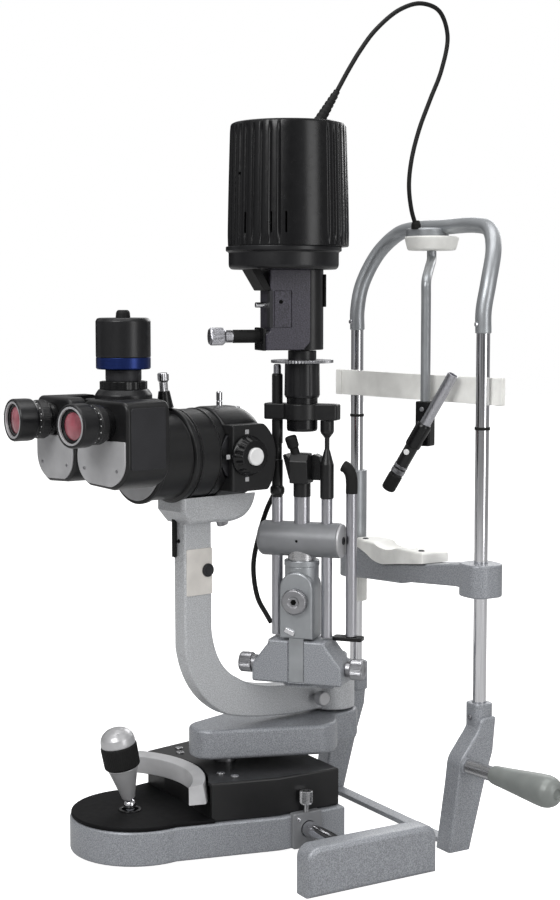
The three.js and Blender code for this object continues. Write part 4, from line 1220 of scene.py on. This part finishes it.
def magnification():
    z = OPTIC_Z
    side = Outline(-172.6, 362).to((-128, 362)).quad(-118, 372, -118, 397)
    side.quad(-118, 416, -133, 427).to((-172.6, 427))
    block = slab_x(soft(side.points, 1.5, 3, closed=True), -50, 50, 2.0)
    profile = [(0, 118), (30, 118), (41, 124), (45, 132), (46, 142), (46, 172.6), (0, 172.6)]
    hood = outwards(lathe(soft(profile, 3, 5), 128))
    whole = union(block, moved(hood, 0, 0, z))
    room = moved(along_x(plug(27.5, -44, 44, 64)), 0, CHANGER_Y, z)
    window = moved(outwards(plug(14, 100, 135, 64)), 0, 0, z)
    shaft = moved(along_x(plug(5.3, -65, 65)), 0, CHANGER_Y, z)
    on_scope("changer_housing", "black", cut(whole, room, window, shaft), "magnification_housing")
    rim = moved(outwards(ring(13.6, 17, 117.2, 119.6, 0.6)), 0, 0, z)
    on_scope("changer_window_rim", "black_gloss", rim)
    profile = [(0, 121), (13.8, 121), (13.8, 120), (8, 119.2), (0, 118.9)]
    glass = moved(outwards(lathe(profile, 64)), 0, 0, z)
    on_scope("changer_window", "glass", glass)
    for k in range(4):
        a = math.radians(90 * k)
        mark = slab_x(rounded(-2.2, 2.2, -2.2, 2.2, 0.4), 49.8, 50.5, 0.15)
        mark = moved(mark, 0, CHANGER_Y + 23 * math.cos(a), z + 23 * math.sin(a))
        on_scope(f"changer_mark_{k}", "plate_silver", mark)
    knob = [
        (0, 50.2), (19.6, 50.2), (19.8, 53.4), (18.8, 54.8), (17.8, 57), (15.4, 63), (9.6, 63.4),
        (9.2, 62.4), (0, 62.4),
    ]
    grip = along_x(spindle(knob, 0.6, 216, lambda a, h: 0.5 * math.cos(18 * a) if 55 < h < 62.5 else 0))
    solid = moved(grip, 0, CHANGER_Y, z)
    piece("changer_knob", "black_gloss", solid, SCOPE, "magnification", "magnification_drum")
    profile = [(0, 62), (8.6, 62), (8.6, 65.4), (7.6, 66.2), (0, 66.2)]
    button = moved(along_x(spindle(profile, 0.3, 64)), 0, CHANGER_Y, z)
    piece("changer_button", "white_mark", button, SCOPE, "magnification")
    drum = along_x(rod(26, -42, 42, 0.6, 96))
    holes = [moved(spun(outwards(plug(10, -40, 40)), a, "X")) for a in (0, 60, 120)]
    solid = moved(cut(drum, *holes), 0, CHANGER_Y, z)
    piece("changer_drum", "graphite", solid, SCOPE, "magnification")
    profile = [(0, 441), (3, 441), (3, 447), (2.4, 447.5), (3, 448), (3, 456), (2.2, 457), (0, 457)]
    pin = moved(spindle(profile, 0.3, 40), 0, -150, 0)
    on_scope("changer_pin", "chrome", pin)
    on_scope("changer_top_screw", "chrome", moved(screw_head(3.0), 8, -134, 440.2))


def back_tube():
    z = OPTIC_Z
    body = [
        (0, 172.9), (44.4, 172.9), (44.4, 206), (45.8, 207.5), (45.8, 212), (44, 213.2),
        (42, 213.6), (42, 245.4),
    ]
    body += [(44.2, 246.2), (44.5, 250.4), (0, 250.4)]
    barrel = outwards(spindle(body, 0.5, 144))
    room = moved(along_x(plug(28, -44, 44)), 0, CHANGER_Y, 0)
    on_scope("tube_barrel", "black", moved(cut(barrel, room), 0, 0, z), "scope_tube")
    for k, at in enumerate((181, 203)):
        band = outwards(ring(44.2, 45.1, at, at + 1.6, 0.4, 128))
        on_scope(f"tube_band_{k}", "black_gloss", moved(band, 0, 0, z))
    profile = [(0, 250.2), (40.5, 250.2), (41, 251), (41, 252.2), (0, 252.2)]
    plate = outwards(spindle(profile, 0.4, 128))
    on_scope("tube_back_plate", "plate_silver", moved(plate, 0, 0, z))


def splitter():
    low, _ = box_in("beam_splitter", SCOPE)
    body = slab_y(rounded(-34.5, 34.5, low.z, 452, 6), -276, -252.4, 1.5)
    deck = slab(rounded(-28, 28, -294, -238, 10), 446, 454, 1.5)
    below = slab(rounded(-60, 60, -310, -276, 1), 300, 445.5, 0.1)
    whole = union(body, cut(deck, below))
    on_scope("splitter_housing", "black", whole, "beam_splitter")
    collar = [(0, 453), (27, 453), (27, 458), (24, 462.5), (22.4, 463.4), (0, 463.4)]
    on_scope("splitter_collar", "black_metal", moved(spindle(collar, 0.8, 96), 0, CAMERA_Y))
    clamp = spindle([(0, 463.2), (22, 463.2), (22, 470.6), (0, 470.6)], 0.5, 120, knurl(12, 0.55))
    on_scope("splitter_clamp", "black_gloss", moved(clamp, 0, CAMERA_Y))
    neck = spindle([(0, 470.4), (16.6, 470.4), (17, 473), (17, 481.4), (0, 481.4)], 0.5, 96)
    on_scope("splitter_neck", "graphite", moved(neck, 0, CAMERA_Y))
    low, _ = box_in("splitter_knob", SCOPE)
    lean = -4
    foot = Vector((0, -216, low.z + 0.2))
    cone = spindle([(0, 0), (8.5, 0), (7.6, 4), (5.4, 16.5), (0, 16.5)], 0.6, 64)
    solid = moved(spun(cone, -lean, "X"), *foot)
    piece("splitter_knob_cone", "black_gloss", solid, SCOPE, "splitter_lock", "splitter_knob")
    profile = [(0, 16), (4, 16), (4, 25), (4.6, 25.6), (5.4, 27), (5.4, 33), (4.6, 34), (0, 34)]
    pin = spindle(profile, 0.3, 96, knurl(20, 0.12))
    solid = moved(spun(pin, -lean, "X"), *foot)
    piece("splitter_knob_pin", "chrome", solid, SCOPE, "splitter_lock")


def camera_module():
    blue = spindle([(0, 482), (24.8, 482), (25.8, 483.2), (25.8, 493), (0, 493)], 0.4, 96)
    piece("camera_ring", "blue_anodised", moved(blue, 0, CAMERA_Y), SCOPE, "camera")
    cap = [
        (0, 493.2), (25.6, 493.2), (25.9, 494), (25.9, 527), (24.4, 529.6), (22, 530.2), (0, 530.2),
    ]
    solid = moved(spindle(cap, 0.6, 128), 0, CAMERA_Y)
    piece("camera_cap", "black_metal", solid, SCOPE, "camera", "camera_module")
    boss = [(0, 530), (7, 530), (6.6, 534.6), (5.8, 536.6), (4.4, 537.5), (0, 537.5)]
    piece("camera_boss", "rubber", moved(spindle(boss, 0.6, 48), 0, CAMERA_Y), SCOPE, "camera")


def prism(word, side):
    def seat(shape):
        return moved(spun(shape, 4), 1, -318)

    shape = Outline(8, 446).to((0, 404)).quad(0, 384, 19, 377).to((53, 375)).quad(76, 382, 76, 402)
    shape.to((76, 446))
    shape.quad(75, 456, 65, 456).to((19, 456)).quad(9, 454, 8, 446)
    body = seat(slab_y(shape, 0, 50, 3))
    inner = slab(rounded(-20, 0.6, -400, -200, 0.2), 300, 500, 0.1)
    swung = slab(rounded(-58, -17.6, -400, -200, 0.2), -200, 200, 0.1)
    swung = moved(spun(swung, 8.2, "Y"), 18, 0, OPTIC_Z)
    room = slab(rounded(-10, 47, -276.5, -200, 1), 300, 500, 0.1)
    deck = slab(rounded(-10, 42, -300, -260, 1), 439, 500, 0.1)
    whole = flipped(cut(body, inner, swung, room, deck), side)
    piece("prism_body_" + word, "black", whole, SCOPE, "prism_" + word, "prism_housing_" + word)
    face = Outline(5, 420).to((3, 404)).quad(3, 386, 20, 379.6).to((52.6, 378))
    face.quad(73, 384.6, 73.4, 402).to((73.4, 420))
    front = seat(slab_y(soft(face.points, 1.5, 3, closed=True), -1.4, 0.4, 0.5))
    piece("prism_front_plate_" + word, "plate_silver", flipped(front, side), SCOPE, "prism_" + word)
    panel = seat(slab_x(rounded(4, 44, 394, 450, 3), 75.4, 76.7, 0.4))
    piece("prism_side_panel_" + word, "graphite", flipped(panel, side), SCOPE, "prism_" + word)
    for k, x in enumerate((14, 62)):
        pin = flipped(seat(moved(outwards(screw_head(1.6, 0.8)), x, -1.3, 393)), side)
        piece(f"prism_screw_{word}_{k}", "steel", pin, SCOPE, "prism_" + word)


def eyepiece(word, side):
    turn = side * 6.5
    foot = (side * 45.3, -317.2, 435)

    def put(name, look, shape, stands=()):
        placed = moved(spun(outwards(shape), turn), *foot)
        piece(name + word, look, placed, SCOPE, "ocular_" + word, stands)

    solid = spindle([(0, -2.6), (15.5, -2.6), (15.5, 4), (17.6, 5.6), (17.6, 8), (0, 8)], 0.5, 96)
    put("ocular_base_", "black_gloss", solid)
    profile = [(0, 7.6), (18.2, 7.6), (18.2, 14.6), (17.2, 15.4), (17.2, 19), (0, 19)]
    solid = spindle(profile, 0.4, 240, lambda a, z: 0.22 * math.cos(60 * a) if z < 14 else 0)
    put("ocular_dial_", "black", solid)
    cup = [
        (0, 18.6), (18, 18.6), (19.6, 21), (20, 25), (20, 37.4), (19.2, 38.8), (18.3, 39.2),
        (17.9, 38.4), (17.9, 31), (0, 31),
    ]
    put("ocular_cup_", "black_metal", spindle(cup, 0.4, 96), "eyepiece_" + word)
    put("ocular_rim_", "plate_silver", ring(15.6, 17.6, 36, 38.6, 0.5, 96))
    inner = [(15.8, 30.8), (17.7, 30.8), (17.7, 36.4), (15.8, 36.4)]
    put("ocular_inner_", "black_gloss", lathe(soft(inner, 0.3, closed=True), 96, closed=True))
    lens = [(0, 30.8), (15.2, 30.8), (15.2, 33.2), (13.4, 34.4), (9, 35.6), (4.5, 36.2), (0, 36.4)]
    put("ocular_lens_", "glass", spindle(lens, 0.4, 96))
    put("ocular_lens_ring_", "black_gloss", ring(12.6, 15.8, 32, 35.8, 0.6, 96))
    marks = []
    for k in range(14):
        a = math.radians(-60 + 20 * k)
        mark = slab(rounded(-0.45, 0.45, -0.45, 0.45, 0.15), -0.3, 0.3, 0.1)
        mark = spun(moved(mark, 0, 0, 17.45), 90, "Y")
        mark = moved(mark, 0, 0, 16.8 if k % 3 else 17.4)
        marks.append(spun(mark, math.degrees(a)))
    put("ocular_marks_", "white_mark", gathered(*marks))


microscope()


# Illumination arm, tower and slit head
def illumination():
    plate = Outline(-24, 0).to((-24, -84)).quad(-22, -112, 0, -112).quad(22, -112, 24, -84)
    plate.to((24, 0)).arc(0, 0, 24, 0, 180)
    body = slab(plate, 152, 165, 2)
    relief = slab(rounded(-60, 60, -130, -70, 1), 140, 161.5, 0.1)
    boss = rod(16, 160, 174, 1.2, 80)
    bore = plug(9.2, 100, 180)
    solid = cut(union(body, boss), relief, bore)
    piece("illumination_arm_casting", "hammertone", solid, ARM, "illumination", "illumination_arm")
    front = [
        (-47, 166), (47, 166), (47, 184), (30, 206), (30, 210), (-30, 210), (-30, 206), (-47, 184),
    ]
    foot = slab_y(soft(front, 3, 4, closed=True), -120, -82, 3)
    groove = slab_y(rounded(-8.8, 8.8, 160, 220, 1), -122, -118.6, 0.1)
    bore = moved(along_x(plug(5.2, -60, 60)), 0, -101, 181)
    solid = cut(foot, groove, bore)
    piece("tower_foot_casting", "hammertone", solid, ARM, "illumination", "tower_foot")
    key = slab_y(rounded(-7.6, 7.6, 168, 214, 1.2), -119.6, -116, 0.6)
    piece("foot_key", "silver_paint", key, ARM, "illumination")
    shaft = moved(along_x(rod(5, -50, 50, 0.4)), 0, -101, 181)
    piece("slit_shaft", "steel", shaft, ARM, "slit_width", "slit_width_knobs")
    for word, side in (("right", 1), ("left", -1)):
        hub = spindle([(0, 47.4), (8.2, 47.4), (8.2, 52.4), (0, 52.4)], 0.4, 64)
        profile = [(0, 52), (9.6, 52), (10, 53), (10, 63.6), (9, 65), (8, 65.4), (7.2, 64), (0, 64)]
        rim = spindle(profile, 0.4, 168, knurl(42, 0.24))
        knob = moved(along_x(gathered(hub, rim)), 0, -101, 181)
        piece("slit_width_knob_" + word, "steel", flipped(knob, side), ARM, "slit_width")


def tower():
    arch = Outline(-17, 212).to((17, 212), (17, 262)).arc(0, 262, 17, 0, 180)
    block = slab_y(arch, -20, 12, 2.5)
    body = rod(17, 212, 284, 2.0, 96)
    neck = rod(14, 282, 300, 0.8, 80)
    hole = moved(outwards(plug(3.3, 5, 30, 32)), 0, 0, 250)
    on_tower("tower_body_casting", "silver_paint", cut(union(block, body), hole), "tower_housing")
    on_tower("tower_neck", "bright_steel", neck)
    on_tower("tower_collar", "silver_paint", ring(13.8, 17.6, 283, 289, 1.0, 80))
    profile = [(0, -42.8), (15.4, -42.8), (17.5, -39.8), (17.5, 39.6), (16.8, 40.4), (0, 40.4)]
    cross = along_x(spindle(profile, 1.2, 112))
    wells = [moved(plug(6.0, 280, 340, 40), a, 0) for a in (-26, 26)]
    wells.append(plug(8.1, 300, 340, 40))
    on_tower("tower_cross_barrel", "plain_grey", cut(moved(cross, 0, 0, CROSS_Z), *wells))
    end = along_x(spindle([(0, 40.2), (16.6, 40.2), (16.6, 42.4), (14, 43), (0, 43)], 0.6, 96))
    on_tower("cross_end_cap", "plate_silver", moved(end, 0, 0, CROSS_Z))
    pin = moved(along_x(screw_head(4.0, 1.2)), 42.8, 0, CROSS_Z)
    on_tower("cross_end_screw", "graphite", pin)
    index = moved(outwards(rod(1.3, 17.2, 17.9, 0.2, 24)), 0, 0, CROSS_Z)
    on_tower("cross_index", "dark_dot_and_hole_shade", index)
    latch = slab_y(rounded(-5.5, 5.5, -2.5, 2.5, 1.6), -22.2, -19.6, 0.6)
    latch = moved(spun(latch, 24, "Y"), -6, 0, 219)
    on_tower("tower_latch", "chrome", latch)
    tower_tubes()
    mirror_head()
    lens()
    centring()
    background_tube()


def tower_tubes():
    """The two tubes beside the prism post, bright below and black above."""
    left = [
        (0, 351), (5.3, 351), (5.6, 353), (6.9, 354.5), (7.2, 356), (7.2, 359.5), (6.6, 361),
        (5.4, 362.5), (5.6, 388), (4.6, 389), (4.6, 404), (5.4, 405), (5.6, 428.4), (0, 428.4),
    ]
    right = [
        (0, 351), (6.4, 351), (6.8, 352.5), (6.8, 385), (5.6, 389), (3.0, 399), (2.4, 400),
        (2.4, 411), (3.0, 412), (6.2, 416), (6.8, 418), (6.8, 428.4), (0, 428.4),
    ]
    for word, x, dark in (("left", -TUBE_X, left), ("right", TUBE_X, right)):
        tube = moved(rod(5.5, 212, 351, 0.5, 56), x, 0)
        on_tower("tower_tube_bright_" + word, "tube_silver", tube, "tower_tube_" + word)
        on_tower("tower_tube_dark_" + word, "black", moved(spindle(dark, 0.5, 56), x, 0))
    stop = spindle([(0, 444.6), (5.4, 444.6), (5.4, 473), (4.4, 474.4), (0, 474.4)], 0.5, 56)
    on_tower("crossbar_stop", "black", moved(stop, -TUBE_X, 0))
    tip = spindle([(0, 474), (3.8, 474), (3.8, 482), (3, 483.6), (0, 483.6)], 0.4, 48)
    on_tower("crossbar_stop_tip", "tube_silver", moved(tip, -TUBE_X, 0))


def mirror_head():
    on_tower("prism_post_bright", "tube_silver", rod(7.9, 303, 353, 0.5, 64), "prism_post")
    sleeve = rod(8.6, 352, 372, 0.8, 64)
    side = Outline(-12, 366).to((8, 366), (8, 380), (3, 396), (-8, 396), (-14, 388))
    head = slab_x(soft(side.points, 1.2, 3, closed=True), -9.5, 9.5, 1.2)
    on_tower("mirror_head", "black", gathered(sleeve, head))
    profile = [(-16, 394), (-13.5, 395.5), (-9, 390), (-8, 371), (-9.5, 370)]
    wing = slab_y(soft(profile, 0.6, 3, closed=True), -13, 5, 0.6)
    on_tower("mirror_wing", "black_gloss", wing)
    profile = [(7, 392), (13, 395), (18, 393), (24, 369), (10, 369)]
    fork = slab_y(soft(profile, 1.0, 3, closed=True), -2, 10, 0.8)
    on_tower("mirror_fork", "black_gloss", fork)
    profile = [(0, -8), (4.4, -8), (4.4, 6), (5.8, 8), (6, 17), (5.2, 18.6), (0, 18.6)]
    knob = spun(spindle(profile, 0.6, 48), 12, "X")
    on_tower("mirror_handle", "rubber", moved(spun(knob, -14, "Y"), -5, -5, 395))


def lens():
    plate = slab(rounded(-38, 38, -8.6, 8.6, 3.5), 429, 445, 1.4)
    hub = rod(18.6, 429.2, 444.8, 1.0, 80)
    bore = plug(15.6, 420, 460, 64)
    on_tower("lens_crossbar", "black", cut(union(plate, hub), bore), "lens_bracket")
    low = [(0, 417.4), (12.6, 417.4), (14.6, 418), (15.3, 420), (15.3, 451), (0, 451)]
    on_tower("lens_barrel", "black_gloss", spindle(low, 0.5, 96), "projection_lens")
    profile = [(0, 450.6), (16, 450.6), (17, 452.6), (17, 484.6), (0, 484.6)]

    def fluted(a, z):
        return 0.75 * (abs(math.cos(6 * a)) ** 0.5) if 453 < z < 483 else 0.2

    on_tower("lens_fluted_tube", "black_metal", spindle(profile, 0.6, 240, fluted))
    disc = ring(13.8, 30.4, 485.2, 488, 0.4, 360, lambda a, z: 0.5 * math.cos(60 * a))
    on_tower("azimuth_ring", "steel", disc)
    on_tower("lens_throat", "black", rod(14, 484.4, 497.2, 0.5, 80))


def centring():
    profile = [(0, 0.4), (12.4, 0.4), (13, 1.6), (13, 5.6), (11.6, 7.4), (6, 8), (5, 7), (0, 7)]
    knob = spindle(profile, 0.6, 192, knurl(48, 0.2))
    solid = moved(outwards(knob), 0, -20, 250)
    piece("centring_knob", "steel", solid, TOWER, "centring", "centring_screw")
    # A dark hexagon on the recessed face: painted shade standing in for the hex socket.
    hole = moved(outwards(rod(3.0, 7.0, 7.6, 0.2, 6)), 0, -20, 250)
    piece("centring_socket_shade", "dark_dot_and_hole_shade", hole, TOWER, "centring")


def background_tube():
    low, _ = box_in("background_tube", TOWER)
    x, y = 49.5, 6.6
    tube = moved(rod(5.5, low.z, 358, 0.6, 56), x, y)
    on_tower("background_pipe", "tube_silver", tube, "background_tube")
    profile = [(x, y, 356), (x, y, 368), (x - 1, y, 375), (x - 4.5, y, 381), (x - 9, y, 383.5)]
    elbow = sweep(catmull(profile, 8), 5.9, 32)
    on_tower("background_elbow", "rubber", elbow)
    plate = slab(rounded(x - 18.5, x + 12, y - 6, y + 8, 3), low.z - 4.4, low.z - 0.4, 0.6)
    on_tower("background_foot", "black_gloss", plate)


def slit_head():
    wall = [(-38, 577), (-38, 516), (-42, 514), (-42, 498), (-4, 498), (3, 506), (3, 577)]
    body = slab_y(soft(wall, 1.2, 3, closed=True), -19, 19, 1.4)
    path = plug(9, 480, 600)
    seat = moved(along_x(plug(5.2, -60, -36)), 0, 0, 511.5)
    window = slab_y(rounded(-34, -16, 520, 556, 0.8), -22, -17.8, 0.1)
    on_head("head_block", "dark_hammertone", cut(body, path, seat, window), "upper_block")
    panel = slab_y(rounded(-33.4, -16.6, 520.6, 555.4, 0.6), -18.6, -17.2, 0.2)
    on_head("head_scale_panel", "dark_hammertone", panel)
    dot = moved(outwards(rod(1.9, 18.2, 19.2, 0.3, 32)), -27, 0, 545)
    on_head("head_panel_dot", "dark_dot_and_hole_shade", dot)
    edge = slab_y(rounded(-38.8, -35.4, 520, 556, 0.6), -19.6, -10, 0.4)
    on_head("head_edge_strip", "graphite", edge)
    column = rod(17, 498, 577, 1.0, 96)
    bore = plug(9, 480, 600)
    on_head("head_column", "black", cut(moved(column, 4, 0), bore))
    profile = [(-57, 577.5), (-48, 577.5), (-36.5, 556), (-44, 556)]
    strut = slab_y(soft(profile, 0.8, 3, closed=True), -19.4, 19.4, 0.8)
    on_head("head_strut", "rubber", strut)
    cover = slab_x(rounded(-16.5, 16.5, 497.6, 520, 1.5), -44.4, -41, 0.6)
    hole = moved(along_x(plug(5.2, -60, -36)), 0, 0, 511.5)
    on_head("head_front_cover", "black_gloss", cut(cover, hole))
    pin = moved(spun(rod(2.6, 38, 50, 0.4, 40), -90, "Y"), 0, -8, 542)
    on_head("head_pin", "chrome", pin)
    bracket = slab_x(rounded(-8, 8, 540, 572, 1), 20.4, 22.4, 0.5)
    on_head("head_rear_catch", "rubber", bracket)
    socket()
    lever()
    lamp()


SOCKET_X = -19


def socket():
    """The ring that the lamp cap stands on."""
    profile = [
        (0, 576.6), (51.4, 576.6), (53.4, 578.6), (54, 581), (54, 592.4), (54.8, 593.6),
        (56.7, 594.2), (56.7, 598.6), (0, 598.6),
    ]
    room = plug(22, 583, 620)
    bore = plug(9, 560, 600)
    whole = cut(moved(spindle(profile, 0.7, 160), SOCKET_X, 0), moved(room, -14.3, 0), bore)
    on_head("lamp_socket_ring", "black_metal", whole)


def lever():
    low, high = box_in("slit_lever", HEAD)
    z = (low.z + high.z) / 2
    black = [
        (0, -8), (4.7, -8), (4.7, 0), (6, 0.5), (6.5, 1.5), (6.5, 27.6), (5.8, 28.4), (0, 28.4),
    ]
    silver = [
        (0, 28), (5.8, 28), (6.2, 29), (6.2, 35.6), (7.4, 36.4), (8.4, 38), (8.5, 49.6),
        (7.4, 51.6), (0, 52),
    ]
    shift = high.x - 8

    def lay(shape):
        return moved(spun(shape, -90, "Y"), shift, 0, z)

    piece("lever_shaft", "rubber", lay(spindle(black, 0.4, 64)), HEAD, "slit_length", "slit_lever")
    grip = spindle(silver, 0.4, 168, lambda a, h: 0.22 * math.cos(42 * a) if 38 < h < 50 else 0)
    piece("lever_knob", "tube_silver", lay(grip), HEAD, "slit_length")


def lamp():
    """The fluted lamp cap, smooth on its two sides and vented near the bottom."""
    low, high = box_in("lamp_cap", HEAD)
    x = (low.x + high.x) / 2
    r = (high.x - low.x) / 2
    smooth_half = math.radians(23)
    pitch = math.radians(9)

    def flutes(a, z):
        if z < low.z + 4 or z > high.z - 5:
            return 0
        off = min(abs((a - math.pi / 2 + math.pi) % TAU - math.pi),
                  abs((a + math.pi / 2 + math.pi) % TAU - math.pi))
        if off < smooth_half:
            return 0
        phase = ((off - smooth_half) % pitch) / pitch
        groove = math.exp(-((phase - 0.18) / 0.11) ** 2)
        swell = 0.55 * math.sin(math.pi * min(1.0, max(0.0, (phase - 0.28) / 0.72)))
        fade = min(1.0, (z - low.z - 4) / 3, (high.z - 5 - z) / 3)
        return (-1.3 * groove + 0.7 * swell) * fade

    profile = [(0, low.z), (r - 0.8, low.z)]
    for k in range(23):
        z = low.z + 0.8 + (high.z - low.z - 8.8) * k / 22
        profile.append((r - 0.8 - 2.6 * (k / 22) ** 1.3, z))
    profile += [
        (r - 3.5, high.z - 3), (r - 4.3, high.z - 1), (r - 6, high.z - 0.1), (r - 9, high.z),
        (0, high.z),
    ]
    shell = lathe(profile, 720, flutes)
    room = plug(r - 6, low.z - 1, high.z - 8, 96)
    slots = []
    for angle in (-108, -122, -151, 108, 122, 151, 58, 29, -29):
        slot = slab_x(rounded(-0.9, 0.9, low.z + 11, low.z + 31, 0.8), r - 9, r + 3, 0.1)
        slots.append(spun(slot, angle))
    vent = moved(spun(along_x(plug(1.5, r - 9, r + 3, 24)), -90 - 70), 0, 0, low.z + 68)
    whole = cut(shell, room, *slots, vent)
    on_head("lamp_cap_shell", "black_gloss", moved(whole, x, 0), "lamp_cap", 24)
    # A near-black core inside the cap: painted shade seen through the slots and the vent.
    points = [(0, low.z + 2), (r - 12, low.z + 2), (r - 12, high.z - 10), (0, high.z - 10)]
    shade_core = spindle(points, 1, 64)
    on_head("lamp_cap_inner_shade", "dark_dot_and_hole_shade", moved(shade_core, x, 0))
    z = box_in("led_module", HEAD)[0].z
    lens_profile = [(0, z), (9, z + 1), (14, z + 4), (15, z + 12), (0, z + 12)]
    on_head("led_condenser", "glass", moved(spindle(lens_profile, 0.6, 64), x, 0), "led_module")
    solid = moved(ring(r - 7, r - 1.2, low.z - 0.8, low.z + 0.6, 0.3, 96), x, 0)
    on_head("lamp_seam", "black_gloss", solid)


illumination()
tower()
slit_head()
